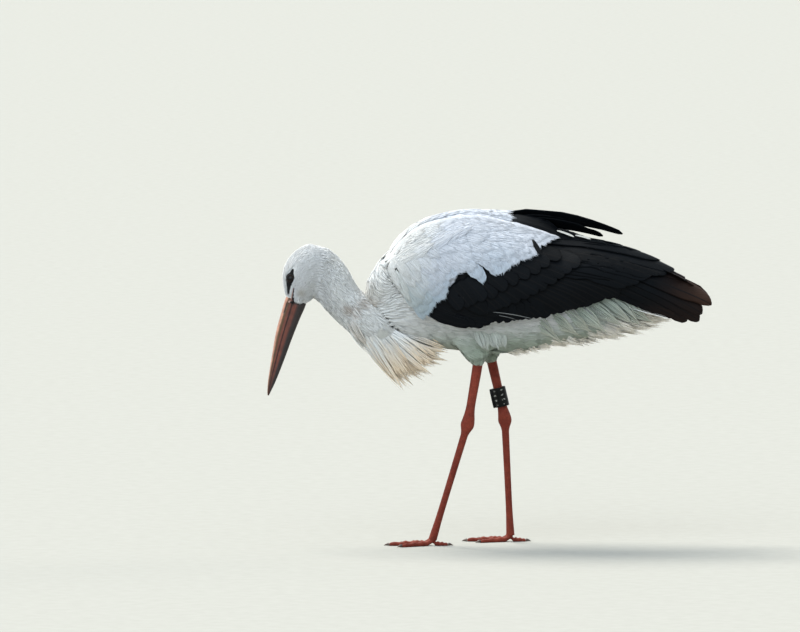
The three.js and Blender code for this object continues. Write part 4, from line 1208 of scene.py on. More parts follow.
# Places across a vane, from the leading edge to the trailing one, close together at the shaft.
ACROSS_VANE = np.array([-1, -0.8, -0.5, -0.2, -0.045, 0, 0.045, 0.2, 0.5, 0.8, 1])
SHAFT_RIDGE, FRAY, VANE_PATCH = 0.35, 0.04, 0.004


def vane(coat, surface, root, width, form, *, rise, tilt, camber, thick, tint, fade=None, slits=2, lead=0.75):
    """One feather with a shaft. surface(share, aside, height) gives its points; the leading
    vane is narrower than the trailing one by lead."""
    stations, shares = np.array(form).T
    c = ACROSS_VANE
    side = np.where(c < 0, c * lead, c * (2 - lead))
    rows, columns = len(form), len(c)
    notch = np.ones((rows, columns))
    for _ in range(rng.poisson(slits)):
        row, edge = rng.integers(3, rows - 2), rng.choice([0, columns - 1])
        notch[row, edge] = rng.uniform(0.72, 0.9)
    rough = 1 + rng.normal(0, FRAY, (rows, columns)) * (np.abs(c) > 0.9)
    aside = side * (width / 2) * shares[:, None] * notch * rough
    sweep = -0.30 * np.abs(aside) * smoothstep(0.75, 1, stations)[:, None]
    share = stations[:, None] + sweep / 200 + 0 * aside
    height = mix(rise[0], rise[1], stations)[:, None] + tilt * aside + camber * width * (1 - c * c) * 0.25
    height = height + SHAFT_RIDGE * np.exp(-((c / 0.05) ** 2)) * (1 - 0.7 * stations[:, None])
    points = both_faces(surface(share, aside, height)[None], surface(share, aside, height - thick)[None])
    uv = lens_map(0.5 + c / 2, stations)
    tints = shade_of(np.atleast_2d(tint), points.shape[1], uv[:, 1], fade)
    coat.add(points, lens(rows, columns), uv, np.atleast_2d(root), tints, VANE_PATCH)


def sheet_line(side, root, tip, bow=0.0, roll=True):
    """A feather's middle line over the folded wing, bowed up or down in the side view."""
    root, tip = np.array(root, float), np.array(tip, float)
    run = tip - root
    length = np.hypot(*run)
    aside = np.array([-run[1], run[0]]) / length  # upwards for a line that runs to the rear

    def surface(share, off, height):
        curve_off = bow * length * 4 * share * (1 - share)
        slope = bow * 4 * (1 - 2 * share)
        x = root[0] + run[0] * share + aside[0] * (curve_off + off) - run[0] / length * slope * off
        z = root[1] + run[1] * share + aside[1] * (curve_off + off) - run[1] / length * slope * off
        return sheet(side, x, z, height, roll)

    return surface


# Rows of black feathers on the folded wing, from the lowest layer to the highest one: count,
# width, thickness, rise at root and tip, tilt, bow, and the curves of [x, z] on which roots and
# tips lie, from the top feather to the bottom one.
BLACK_ROWS = {
    "primaries": (7, 31, 0.5, (-7.5, -2.6), -0.10, 0.035, [(244, 498), (236, 468), (208, 438)],
                  [(344, 470), (364, 444), (370, 404), (355, 388), (322, 397)]),
    "brown_tip": (1, 36, 0.5, (-6, 1.0), -0.04, 0.02, [(238, 480)] * 2, [(386, 422)] * 2),
    "secondaries": (18, 40, 0.5, (-7.5, -1.2), -0.08, 0.03, [(134, 474), (60, 442), (-28, 414)],
                    [(224, 436), (160, 418), (86, 400), (14, 396)]),
    "tertials": (8, 36, 0.6, (-7, 0.0), -0.07, 0.05, [(96, 526), (84, 508), (100, 482)],
                 [(318, 478), (292, 472), (262, 462), (238, 450)]),
    "greater_coverts": (14, 34, 0.4, (-7, 0.6), -0.07, 0.03, [(76, 510), (-8, 466), (-72, 440)],
                        [(156, 490), (92, 446), (24, 416), (-8, 404)]),
    "middle_coverts": (11, 27, 0.35, (-7, 1.2), -0.05, 0.02, [(50, 520), (-20, 480), (-84, 446)],
                       [(122, 500), (60, 462), (-6, 428), (-52, 414)]),
    "primary_coverts": (9, 19, 0.35, (-6, 0.9), -0.07, -0.05, [(-84, 436), (-100, 420), (-114, 406)],
                        [(12, 401), (6, 392), (-8, 386), (-36, 382)]),
    "inner_tertials": (3, 36, 0.9, (-5, 0.6), -0.03, 0.05, [(52, 566), (64, 552), (78, 540)],
                       [(232, 532), (262, 520), (296, 502)]),
    "notch": (1, 8, 0.4, (0.6, 1.4), 0.0, 0.0, [(73, 533)] * 2, [(84, 506)] * 2),
}
# The far wing's raised inner feathers: [root, tip, width, rise], in the side view.
RIGHT_TERTIALS = [
    ((100, 482), (238, 450), 44, 0), ((92, 496), (250, 470), 44, 0), ((84, 508), (262, 484), 40, 0),
    ((70, 518), (250, 500), 36, 0), ((50, 544), (136, 542), 28, 0), ((26, 566), (166, 553), 22, 0),
    ((22, 568), (198, 541), 19, -1.5), ((14, 581), (231, 543), 19, 0.5),
]
# Pale edges that show over the near wing: [root, tip, width, colour]. The two grey ones low on the wing are painted
# sheen along the secondaries' outer webs.
PALE_EDGES = [
    ((116, 549), (146, 538), 3.4, (0.6, 0.6, 0.57)), ((148, 541), (175, 534), 3.0, (0.6, 0.6, 0.57)),
    ((8, 402), (44, 394), 1.0, (0.20, 0.21, 0.21)), ((3, 407), (74, 395), 1.2, (0.26, 0.27, 0.27)),
]
# Brown of the thin tips at the rear of the black wing: a painted glow of backlight through them.
BACKLIT_BROWN = np.array([0.035, 0.018, 0.012])
BACKLIT_TIPS = {"primaries": 0.35, "brown_tip": 1.0}  # how brown the tips of a row are


def worn_black():
    return BLACK * rng.uniform(0.85, 1.25)


def far_tertials(coat, side):
    for root, tip, width, rise in RIGHT_TERTIALS:
        tint, raised = worn_black(), tip[1] > 530
        surface = sheet_line(side, root, tip, 0.05, roll=not raised)
        vane(coat, surface, sheet(side, *root), width, SLIM if raised else BLUNT,
             rise=(-5 + rise, rise), tilt=-0.06, camber=0.08, thick=0.8, tint=tint)


def black_wing(side, name):
    coat = Coat(f"black_feathers_{name}")
    for row, (count, width, thick, rise, tilt, bow, roots, tips) in BLACK_ROWS.items():
        if side > 0 and row in ("tertials", "inner_tertials"):
            if row == "tertials":
                far_tertials(coat, side)
            continue
        roots, tips = curve(roots), curve(tips)
        form = ROUND if row in ("brown_tip", "notch") else BLUNT
        for i in range(count):
            t = i / max(count - 1, 1)
            root, tip = roots(t) + rng.normal(0, 1.0, 2), tips(t) + rng.normal(0, 1.5, 2)
            surface = sheet_line(side, root, tip, bow, roll=row != "brown_tip")
            # The leading edge is the lower one; it lies over the next feather down.
            # Some rows' tips turn brown, a painted glow of backlight through them.
            vane(coat, surface, sheet(side, *root), width, form, rise=rise, tilt=tilt, camber=0.04,
                 thick=thick, tint=worn_black(), fade=(BACKLIT_BROWN, BACKLIT_TIPS.get(row, 0.0)))
    for root, tip, width, colour in PALE_EDGES if side < 0 else []:
        surface = sheet_line(side, root, tip, 0.02, roll=False)
        vane(coat, surface, sheet(side, *root), width, LONG, rise=(0.7, 0.7), tilt=0.0, camber=0.04,
             thick=0.4, tint=np.array(colour))
    coat.build(f"wing_{name}_flight", colour="black")


# ---------------------------------------------------------------- soft feathers

STATIONS = np.array([f[0] for f in ROUND])


def sheet_lay(side):
    """Lays points on the folded wing's sheet, by their place in the side view."""

    def lay(points):
        x, y, z = np.moveaxis(points, -1, 0)
        low, top = wing_rows(side, x)[:2]
        z = z - lean(side, x, np.abs(y), (z - low) / (top - low))
        place = sheet(side, x, z)
        return place, sheet(side, x, z, 1.0) - place

    return lay


def laid_lines(lay, root, heading, length, steer=None):
    """Middle lines of feathers that start at roots and keep to a surface."""
    place, normal = lay(root)
    direction = flatten(heading, normal)
    lines = [place]
    for step in np.diff(STATIONS):
        place, normal = lay(place + direction * (length * step)[:, None])
        direction = flatten(direction, normal)
        if steer is not None:
            direction = unit(mix(direction, flatten(steer(place), normal), 0.3))
        lines.append(place)
    line = np.stack(lines, axis=1)
    return line, lay(line)[1]


def soft_feathers(coat, lines, lay, width, lift, tint, *, strands=8, form=ROUND, columns=5, core=1.0,
                  camber=0.07,
                  thick=0.3, spread=0.0, overhang=0.05, curl=0.4, ridge=0.08, uneven=0.06, point=0.16):
    """Feathers along middle lines, each a thin blade and, over it, strands that pass its soft
    edge. lay puts points on a surface; lift is the height over the line at root and tip."""
    stations, last = STATIONS, len(STATIONS) - 1
    shares = Smooth(form)
    line, normal = lines
    number, root = len(line), line[:, 0]
    length = np.linalg.norm(np.diff(line, axis=1), axis=2).sum(1)
    along = unit(np.gradient(line, axis=1))
    across = unit(np.cross(normal, along))
    index_at = Smooth(np.column_stack([stations, np.arange(len(stations))]))

    def at(share, aside, height):
        """Points over the feather: share (n, ...) of its length, aside and height in mm."""
        where = np.clip(index_at(np.clip(share, 0, 1))[..., 0], 0, last)
        low = np.minimum(where.astype(int), last - 1)
        part = (where - low)[..., None]
        ids = np.arange(number).reshape((-1,) + (1,) * (share.ndim - 1))
        over = (np.maximum(share - 1, 0) * length.reshape(ids.shape))[..., None]
        base = mix(line[ids, low], line[ids, low + 1], part) + along[ids, low] * over
        base, up = lay(base + across[ids, low] * aside[..., None])
        return base + up * height[..., None], up

    half = (width / 2)[:, None, None]
    c = np.linspace(-1, 1, columns)
    outline = shares(stations)[:, 0][:, None]
    ragged = 1 + rng.normal(0, 0.05, (number, len(stations), columns)) * (np.abs(c) > 0.9)
    aside = half * outline * c * ragged * core
    share = stations[:, None] * (1 - point * c * c * smoothstep(0.5, 1, stations)[:, None]) + 0 * aside
    drop = curl * smoothstep(0.8, 1, stations)[:, None]
    rise = mix(lift[0], lift[1], share) + camber * half * outline * (1 - c * c) * 2 - drop
    top, up = at(share, aside, rise)
    points = both_faces(top, top - up * thick)
    uv = lens_map(np.linspace(0, 1, columns), stations)
    tints = shade_of(tint, points.shape[1], uv[:, 1], None)
    coat.add(points, lens(len(stations), columns), uv, root, tints, normals=both_faces(up, -up))

    s = np.linspace(0, 1, 5)
    taper = np.array([0, *np.linspace(1, 0.62, len(s) - 2), 0])
    for j in range(strands):
        c = (2 * (j + 0.5) / strands - 1) * 0.94 + rng.normal(0, 0.06, (number, 1))
        end = (1 + overhang * rng.uniform(0.2, 1.6, (number, 1))) * (1 - 1.25 * point * np.abs(c) ** 2.2)
        share = mix(0.12, end, s)
        outline = np.maximum(shares(np.minimum(share, 1))[..., 0], 0.45 * smoothstep(0.5, 1, share))
        aside = (width / 2)[:, None] * outline * c * (1 + spread * share**3)
        height = mix(lift[0], lift[1], share) + camber * width[:, None] * outline * (1 - np.minimum(c * c, 1))
        height = height - curl * smoothstep(0.8, 1, share) + 0.18 + rng.normal(0, uneven, (number, 1))
        height[:, 0] -= 0.8
        spots, up = at(share, aside, height)
        wide = width / strands * 1.5 * rng.uniform(0.75, 1.3, number)
        tone = tint * rng.uniform(0.95, 1.04, (number, 1))
        ahead = unit(np.gradient(spots, axis=1))
        locks(coat, spots, up, ahead, wide, taper, 0 * share, tone, root, ridge=ridge)


# ---------------------------------------------------------------- white coverts of the wing

# Tips of the lowest white feathers, from the back to the wing's leading edge: [x, z, width,
# degrees the feather points down].
BOUNDARY = [
    (122, 540, 20, 10), (114, 534, 20, 22), (106, 527, 18, 34), (97, 521, 18, 42), (87, 516, 17, 50),
    (82, 504, 20, 40), (72, 499, 20, 50), (61, 495, 24, 62), (45, 487, 26, 66), (31, 478, 22, 62),
    (17, 470, 36, 72), (4, 474, 20, 84), (-12, 455, 17, 74), (-31, 476, 14, 72), (-46, 473, 20, 72),
    (-61, 464, 20, 60), (-70, 460, 16, 45), (-72, 449, 18, 40), (-74, 438, 18, 40), (-77, 428, 18, 45),
    (-88, 422, 18, 60), (-96, 414, 18, 55), (-101, 406, 18, 55), (-107, 399, 18, 56), (-114, 393, 16, 60),
]
LOBE_SHADE = np.array([0.77, 0.86, 0.91])
CORNER_SHADE = np.array([0.78, 0.82, 0.79])
# Lower limit of the long shoulder feathers, over the coverts: [x, z].
SHOULDER_LINE = Smooth([
    (-190, 470), (-150, 492), (-111, 513), (-88, 528), (-59, 543), (-43, 550), (0, 552), (60, 546), (125, 541),
])


SLEEK = {"camber": 0.02, "curl": 0.1, "thick": 0.2, "ridge": 0.05, "uneven": 0.04, "overhang": 0.08}


def downwards(degrees):
    turn = np.radians(degrees)
    return np.stack([np.cos(turn), -np.sin(turn)], axis=-1)


def sheet_lines(side, root, end):
    """Middle lines over the folded wing, whose roots and ends are [x, z] in the side view: how
    they are laid, their roots and the lines."""
    lay = sheet_lay(side)
    place, tip = (sheet(side, at[:, 0], at[:, 1]) for at in (root, end))
    return lay, place, laid_lines(lay, place, tip - place, np.linalg.norm(tip - place, axis=1))


def white_wing(side, name):
    """The white coverts: roots spread over the sheet, tips kept off the black zone."""
    coat = Coat(f"white_coverts_{name}")
    roots, ends, widths = [], [], []
    edge, count = by_index(BOUNDARY), len(BOUNDARY)
    # Two rows behind the lowest one, whose tips are the lobes of BOUNDARY.
    for back in (15.0, 28.0):
        row = edge(np.linspace(0, count - 1, count) + rng.normal(0, 0.1, count))
        heading = unit(unit(row[:, :2] - WING_SPREAD) + downwards(row[:, 3]))
        ends.append(row[:, :2] - heading * back + rng.normal(0, 1.5, (count, 2)))
        roots.append(ends[-1] - heading * 46)
        widths.append(rng.uniform(22, 27, count))
    row = np.array(BOUNDARY, float)
    heading = downwards(row[:, 3] + rng.normal(0, 3, count))
    ends.append(row[:, :2] - heading * 3)
    roots.append(row[:, :2] - heading * rng.uniform(34, 42, (count, 1)))
    widths.append(row[:, 2] * 1.08)

    xs, zs = np.meshgrid(np.arange(-186, 120, 13.5), np.arange(384, 600, 13.5), indexing="ij")
    spots = np.stack([xs + 6.7 * (np.arange(zs.shape[1]) % 2), zs], axis=-1).reshape(-1, 2)
    spots = spots + rng.normal(0, 2.2, spots.shape)
    heading = unit(spots - WING_SPREAD)
    end = spots + heading * rng.uniform(50, 60, (len(spots), 1))
    low, top = wing_rows(side, spots[:, 0])[:2]
    u = (spots[:, 1] - low) / (top - low)
    ahead = end + heading * 30
    keep = (u > 0.0) & (u < 0.97) & inside(ahead[:, 0], ahead[:, 1], WHITE_ZONE) & (spots[:, 0] > -178)
    keep &= end[:, 1] < SHOULDER_LINE(end[:, 0])[:, 0] + 22
    roots.append(spots[keep])
    ends.append(end[keep])
    widths.append(rng.uniform(28, 38, keep.sum()) * mix(0.5, 1, smoothstep(-176, -130, spots[keep, 0])))

    root, end, width = np.concatenate(roots), np.concatenate(ends), np.concatenate(widths)
    lay, place, lines = sheet_lines(side, root, end)
    low = smoothstep(0, 75, SHOULDER_LINE(root[:, 0])[:, 0] - root[:, 1])
    tint = tinted(place, 0.015) * mix(1.0, LOBE_SHADE, low[:, None])
    tint = tint * mix(1.0, CORNER_SHADE, spot(end[:, 0], end[:, 1], (-118, 416), (34, 30))[:, None])
    lobed = np.arange(len(root)) < 3 * count
    for part, form, point, core in ((lobed, FLUFFY, 0.05, 0.85), (~lobed, ROUND, 0.16, 1.0)):
        soft_feathers(coat, [one[part] for one in lines], lay, width[part], (-2.2, 0.2), tint[part],
                      strands=10, form=form, point=point, core=core, **SLEEK)
    shoulder_feathers(coat, side)
    coat.build(f"wing_{name}_coverts")


def shoulder_feathers(coat, side):
    """Long feathers that run from the shoulder along the back, over the coverts."""
    roots, ends = [], []
    for x in np.arange(-184, 74, 15.0):
        top, floor = wing_rows(side, x)[1], SHOULDER_LINE(x)[0]
        for z in np.arange(floor + 3, top + 16, 8.0):
            root = np.array([x, z]) + rng.normal(0, 3.0, 2)
            # They run level with the back above and with their own lower limit below.
            share = (z - floor) / max(top - floor, 1)
            reach = rng.uniform(62, 80)
            over, under = wing_rows(side, x + reach)[1], SHOULDER_LINE(x + reach)[0]
            end = root + unit(np.array([x + reach, mix(under, over, share)]) - root) * reach
            if end[0] > 114 or x + reach > 40 and not inside(end[0] + 4, min(end[1], over), WHITE_ZONE):
                continue
            roots.append(root)
            ends.append(end)
    root, end = np.array(roots), np.array(ends)
    lay, place, lines = sheet_lines(side, root, end)
    width = rng.uniform(17, 24, len(root))
    # The lowest ones lift a little, so that a soft crease runs under them.
    edge = (root[:, 1] < SHOULDER_LINE(root[:, 0])[:, 0] + 9) & (abs(end[:, 0] + 62) < 46)
    for part, tip_lift in ((~edge, 0.6), (edge, 2.0)):
        soft_feathers(coat, [one[part] for one in lines], lay, width[part], (-2.0, tip_lift),
                      tinted(place[part], 0.015), strands=9, **SLEEK)


MANTLE = {"x": (-192, -20, 12.0), "share": (-0.82, 0.82, 7), "length": (56, 62), "width": (26, 33)}
# Black feathers that close the lower back between the wings: [root, tip] as [x, y].
LOWER_BACK = [
    ((96, 0), (280, 0)), ((60, -12), (262, -5)), ((62, 13), (258, 5)), ((38, -22), (232, -8)),
    ((36, 22), (228, 8)), ((30, -8), (214, -2)), ((20, 10), (200, 4)), ((10, -16), (170, -8)),
]


def mantle():
    """White feathers over the arch of the back."""
    coat = Coat("coat_mantle", soft=0.6)
    xs, shares = np.meshgrid(np.arange(*MANTLE["x"]), np.linspace(*MANTLE["share"]), indexing="ij")
    x = (xs + 6.5 * (np.arange(xs.shape[1]) % 2)).ravel() + rng.normal(0, 2, xs.size)
    half = wing_at(x)[:, 5]
    y = shares.ravel() * half + rng.normal(0, 1.5, xs.size)
    root = arch(np.stack([x, y, 0 * x], axis=1))[0]
    heading = unit(np.stack([1 + 0 * x, 0.10 * y / half, 0 * x], axis=1))
    lines = laid_lines(arch, root, heading, rng.uniform(*MANTLE["length"], len(x)))
    soft_feathers(coat, lines, arch, rng.uniform(*MANTLE["width"], len(x)), (-2.8, 2.8),
                  tinted(root, 0.015), camber=0.035, curl=0.15, overhang=0.08)
    coat.build()


def lower_back():
    coat = Coat("black_lower_back")
    for root, tip in LOWER_BACK:
        start, run = np.array(root, float), np.array(tip, float) - np.array(root, float)

        def surface(share, aside, height):
            share, aside, height = np.broadcast_arrays(share, aside, height)
            x, y = start[0] + run[0] * share, start[1] + run[1] * share + aside
            place, normal = arch(np.stack([x, y, 0 * share], axis=-1))
            return place + normal * height[..., None]

        vane(coat, surface, arch(np.array([*root, 0.0]))[0], 30, LONG, rise=(-5, -0.5), tilt=0.0,
             camber=0.05, thick=0.8, tint=worn_black(), lead=1.0)
    coat.build(colour="black")


# ---------------------------------------------------------------- coat of the body

BARE, ON_HEAD, ON_NECK, ON_BODY, ON_THIGH, ON_BREAST = -1, 0, 1, 2, 3, 4


def tract(points):
    """Which coat grows on points of the skin. ON_BREAST holds the front of the back too."""
    share = spine_place(points)[0]
    x, y, z = points.T
    kind = np.full(len(points), ON_BODY)
    kind[share < NECK_SHARE] = ON_NECK
    kind[(x < -158) & (z > 396) & (share >= NECK_SHARE) & (on_wing(points) < 0.45)] = ON_BREAST
    kind[(share < HEAD_END) & (x < -285)] = ON_HEAD
    kind[(z < 352) & (np.abs(y) > 12) & (np.abs(x) < 70)] = ON_THIGH
    along, level, _ = head_place(points)
    lobe = on_lobe(along, level)
    kind[(along > -1) & (kind == ON_HEAD) & ~lobe] = BARE
    kind[on_patch(points, 0.6) & ~lobe] = BARE
    # Tufts whose tips would lie over the bare skin.
    kind[(kind == ON_HEAD) & on_patch(points - 4.0 * BILL_AXIS) & ~lobe] = BARE
    low, top, *_, half_top = wing_rows(y, x)
    z = z - LEAN * np.abs(y)
    covered = (x > -142) & (z > low + 9) & (z < top - 10) & (np.abs(y) > half_top - 8)
    covered |= (x > -150) & (z > top - 45) & (np.abs(y) < half_top + 2)
    kind[covered | (on_wing(points) > 0.6) & (x > -165) | (x > 215)] = BARE
    return kind


def tinted(points, spread=0.04):
    return markings_and_painted_light(points) * (1 + rng.normal(0, spread, (len(points), 1)))


def uneven(size, count):
    return size * rng.uniform(0.85, 1.15, count)


def head_coat():
    coat = Coat("coat_head")

    def face(points):
        return smoothstep(-58, -12, head_place(points)[0])

    root = scatter(lambda p: mix(1.85, 1.4, face(p)), lambda p: tract(p) == ON_HEAD)[0]
    near, count = face(root), len(root)
    length, width = uneven(mix(12.5, 6.0, near), count), uneven(mix(2.5, 1.9, near), count)
    tufts(coat, root, length, width, (0.2, 1.9), tinted(root), stray=0.10, ridge=0.16)
    coat.build()


def neck_coat():
    coat = Coat("coat_neck", soft=0.5)
    root = scatter(2.4, lambda p: tract(p) == ON_NECK)[0]
    share, angle = spine_place(root)
    down, count = smoothstep(HEAD_END, NECK_SHARE, share), len(root)
    length, width = uneven(mix(14.0, 32.0, down), count), uneven(mix(2.7, 3.9, down), count)
    # Tufts on the underside of the neck are darkened at random: painted shade in the gaps between them.
    under = smoothstep(0.0, -0.6, np.cos(angle))
    shade = 1 - 0.13 * np.abs(rng.normal(0, 1, (count, 1))) * under[:, None]
    tufts(coat, root, length, width, (0.2, 3.0), tinted(root, 0.05) * shade, rows=5, stray=0.14, ridge=0.18)
    coat.build()


def breast_coat():
    """Narrow feathers that spread from the foot of the neck over breast and back."""
    coat = Coat("coat_breast", soft=0.5)
    root = scatter(3.1, lambda p: tract(p) == ON_BREAST)[0]
    length, width = rng.uniform(34, 46, len(root)), rng.uniform(3.6, 5.2, len(root))
    tufts(coat, root, length, width, (0.4, 3.6), tinted(root, 0.05), rows=6, stray=0.08, ridge=0.12)
    coat.build()


def body_coat(name, spacing, allow, length, width, lift, *nodes, **settings):
    """Broad soft feathers over part of the body, narrower towards the front."""
    coat = Coat(name)

    def front(points):
        return smoothstep(-120, -195, points[:, 0])

    root, normal = scatter(lambda p: spacing * mix(1, 0.62, front(p)),
                           lambda p: (tract(p) == ON_BODY) & allow(p))
    heading = straying(root, normal, 0.08)
    long = mix(length, length * 0.85, front(root)) * rng.uniform(0.88, 1.12, len(root))
    wide = uneven(mix(width, width * 0.5, front(root)), len(root))
    lines = laid_lines(nearest, root, heading, long, lie)
    soft_feathers(coat, lines, nearest, wide, lift, tinted(root, 0.02), strands=9, camber=0.045, curl=0.2, **settings)
    coat.build(*nodes)


def thigh_coat():
    coat = Coat("coat_thighs", soft=0.35)
    root, normal = scatter(5.4, lambda p: tract(p) == ON_THIGH)
    heading = straying(root, normal, 0.12)
    length, width = rng.uniform(26, 38, len(root)), rng.uniform(6, 9, len(root))
    soft_feathers(coat, laid_lines(nearest, root, heading, length, lie), nearest, width, (0.3, 4.0),
                  tinted(root, 0.07), strands=4, columns=3, overhang=0.15, spread=0.25)
    coat.build()


# Tail feathers, in the sizes of the solids.
RECTRICES = {"count": 12, "width": 26, "root": (156, 452), "tip": (322, 408), "spread": (16, 31)}


def tail_coat():
    coat = Coat("coat_tail")
    size = RECTRICES
    for i in range(size["count"]):
        k = 2 * i / (size["count"] - 1) - 1
        drop = 1.9 * abs(i - (size["count"] - 1) / 2)
        start = np.array([size["root"][0], size["spread"][0] * k, size["root"][1] - drop])
        end = np.array([size["tip"][0] - 12 * k * k, size["spread"][1] * k, size["tip"][1] - drop])
        run = end - start
        up = unit(np.cross(run, ACROSS))
        up = up * np.sign(up[2])

        def surface(share, aside, height):
            share, aside, height = np.broadcast_arrays(share, aside, height)
            return start + share[..., None] * run + aside[..., None] * ACROSS + height[..., None] * up

        # The tips turn cream, partly a painted glow of backlight.
        vane(coat, surface, start, size["width"], LONG, rise=(0, 0.5), tilt=-0.05 if k > 0 else 0.05,
             camber=0.12, thick=0.6, tint=WHITE * np.array([0.93, 0.95, 0.97]), lead=1.0,
             fade=(CREAM_AND_GLOW, 0.25), slits=4)
    coat.build()


# ---------------------------------------------------------------- feathers that hang free


def hanging(coat, start, end, outwards, sag, rows, width, strands, lift, tint, **settings):
    """Feathers on lines between given ends, bowed outwards by sag and parted into strands."""
    run, number = end - start, len(start)
    sideways = unit(np.cross(run, outwards))
    outwards = unit(np.cross(sideways, run))
    s = np.linspace(0, 1, rows)[None, :, None]
    sag = (sag * np.ones(number))[:, None, None]
    place = start[:, None] + run[:, None] * s + outwards[:, None] * (sag * 4 * s * (1 - s))
    along = unit(np.gradient(place, axis=1))
    normal = unit(np.cross(sideways[:, None], along))
    part_strands(coat, place, normal, along, width, strands, lift, tint, **settings)


# Long plumes of the lower foreneck, as in the solids: [x, z] of the middle root and tip of
# each row. The outer plumes' angle round the neck is edge; there roots and tips rise.
PLUMES = {
    "edge": 74, "facing": (-0.55, -0.83), "sag": 8, "root_spread": 34, "tip_spread": 26,
    "row_spread": 5, "root_lift": (22, 30), "tip_lift": 26,
    "rows": [
        (12, (-256, 402), (-206, 336), 0.2), (12, (-246, 398), (-186, 318), 0.4),
        (10, (-240, 388), (-178, 306), 0.6), (12, (-236, 384), (-147, 262), 0.9),
        (12, (-228, 378), (-138, 270), 0.9), (13, (-220, 371), (-124, 278), 0.9),
        (13, (-210, 364), (-106, 282), 0.9), (12, (-202, 360), (-91, 294), 0.9),
        (12, (-194, 356), (-70, 309), 0.9),
    ],
}


def breast_plumes():
    coat = Coat("coat_plumes", soft=0.2)
    size = PLUMES
    for row, (count, root, tip, cream_glow) in enumerate(size["rows"]):
        upper = cream_glow < 0.5  # the rows that blend the plumes into the neck
        across = np.linspace(-1, 1, count) * (0.78 if upper else 1) + rng.normal(0, 0.04, count)
        angle = np.radians(across * size["edge"])
        c, s = np.cos(angle), np.sin(angle)
        outwards = unit(np.stack([size["facing"][0] * c, s, size["facing"][1] * c], axis=1))
        lift = 1 - c
        start = np.stack([root[0] + size["root_lift"][0] * lift, size["root_spread"] * s,
                          root[1] + size["root_lift"][1] * lift], axis=1)
        reach = size["tip_spread"] + size["row_spread"] * row / 2
        end = np.stack([tip[0] + 0 * s, reach * s, tip[1] + size["tip_lift"] * lift], axis=1)
        end = end + rng.normal(0, 4, end.shape) * np.array([1, 0.4, 1])
        end = start + (end - start) * rng.uniform(0.84, 1.04, (count, 1))
        sag = size["sag"] * mix(0.75 if upper else 0.3, 1, c)  # the outer ones lie close to the breast
        # The tips turn cream, partly a painted glow of backlight.
        hanging(coat, start, end, outwards, sag, 9, rng.uniform(20, 27, count), 9, (1.5, 0.5), tinted(start),
                fan=0.25, fade=(CREAM_AND_GLOW, cream_glow))
    coat.build()


def flank_tufts():
    """Loose feathers over the fold between each thigh and the belly behind it."""
    coat, count = Coat("coat_flanks", soft=0.4), 9
    for side, _ in SIDES:
        x = np.linspace(-26, 12, count) + rng.normal(0, 1.5, count)
        start = np.stack([x, side * np.linspace(67, 63, count), 382 + 0 * x], axis=1)
        end = start + np.stack([14 + 0 * x, -side * np.linspace(1, 7, count), -40 + 0 * x], axis=1)
        end = end + rng.normal(0, 2.5, end.shape) * np.array([1, 0.3, 1])
        outwards = np.broadcast_to(unit(np.array([0.15, side, -0.35])), start.shape)
        hanging(coat, start, end, outwards, 1.5, 7, rng.uniform(13, 17, count), 8, (-2.5, 0.5),
                tinted(mix(start, end, 0.2), 0.03), fan=0.2)
    coat.build()


# Soft feathers under the tail: [x, z] curves of roots and tips, and the spread across.
UNDERTAIL = {
    "roots": [(6, 350), (70, 356), (130, 370), (176, 383), (224, 397)],
    "tips": [(58, 328), (96, 336), (136, 350), (172, 345), (204, 357), (246, 360), (286, 375), (324, 389)],
    "count": 16, "across": 9, "spread": (30, 20), "narrowed": 0.4, "lift": (14, 7), "outwards": 0.75,
}

# Broad shaded feathers on both sides of them: curves of roots and tips, and distances from the
# middle plane at the root and at the tip, for the first feather and for the last one.
SIDE_COVERTS = {
    "roots": [(56, 412), (124, 421), (180, 433), (218, 430)],
    "tips": [(134, 354), (173, 367), (205, 368), (240, 384), (267, 382), (291, 383)],
    "apart": np.array([(61, 42), (33, 22)]), "count": 8, "shade": np.array([0.29, 0.36, 0.27]),
}
# Whites and cream tips of the feathers under the tail, brighter than the plumage elsewhere: partly their own colour
# and partly a painted glow of backlight through them.
UNDERTAIL_WHITE_GLOW, UNDERTAIL_TIP_GLOW = np.array([1.0, 0.98, 0.91]), np.array([1.0, 0.90, 0.74])


def side_coverts(coat):
    size = SIDE_COVERTS
    roots, tips = curve(size["roots"]), curve(size["tips"])
    for side, _ in SIDES:
        for i in range(size["count"]):
            t = i / (size["count"] - 1)
            apart = mix(*size["apart"], t) * side
            start = np.array([[roots(t)[0], apart[0], roots(t)[1]]])
            end = np.array([[tips(t)[0], apart[1], tips(t)[1]]]) + rng.normal(0, 2, 3)
            outwards = unit(np.array([[0.1, side, -0.6]]))
            tint = mix(tinted(start, 0.03), size["shade"], 0.8)
            # Their tips turn a little cream, partly a painted glow of backlight.
            hanging(coat, start, end, outwards, 3.0, 9, rng.uniform(25, 31, 1), 16, (0.5, 0.5), tint,
                    fan=-0.45, fade=(CREAM_AND_GLOW, 0.2))


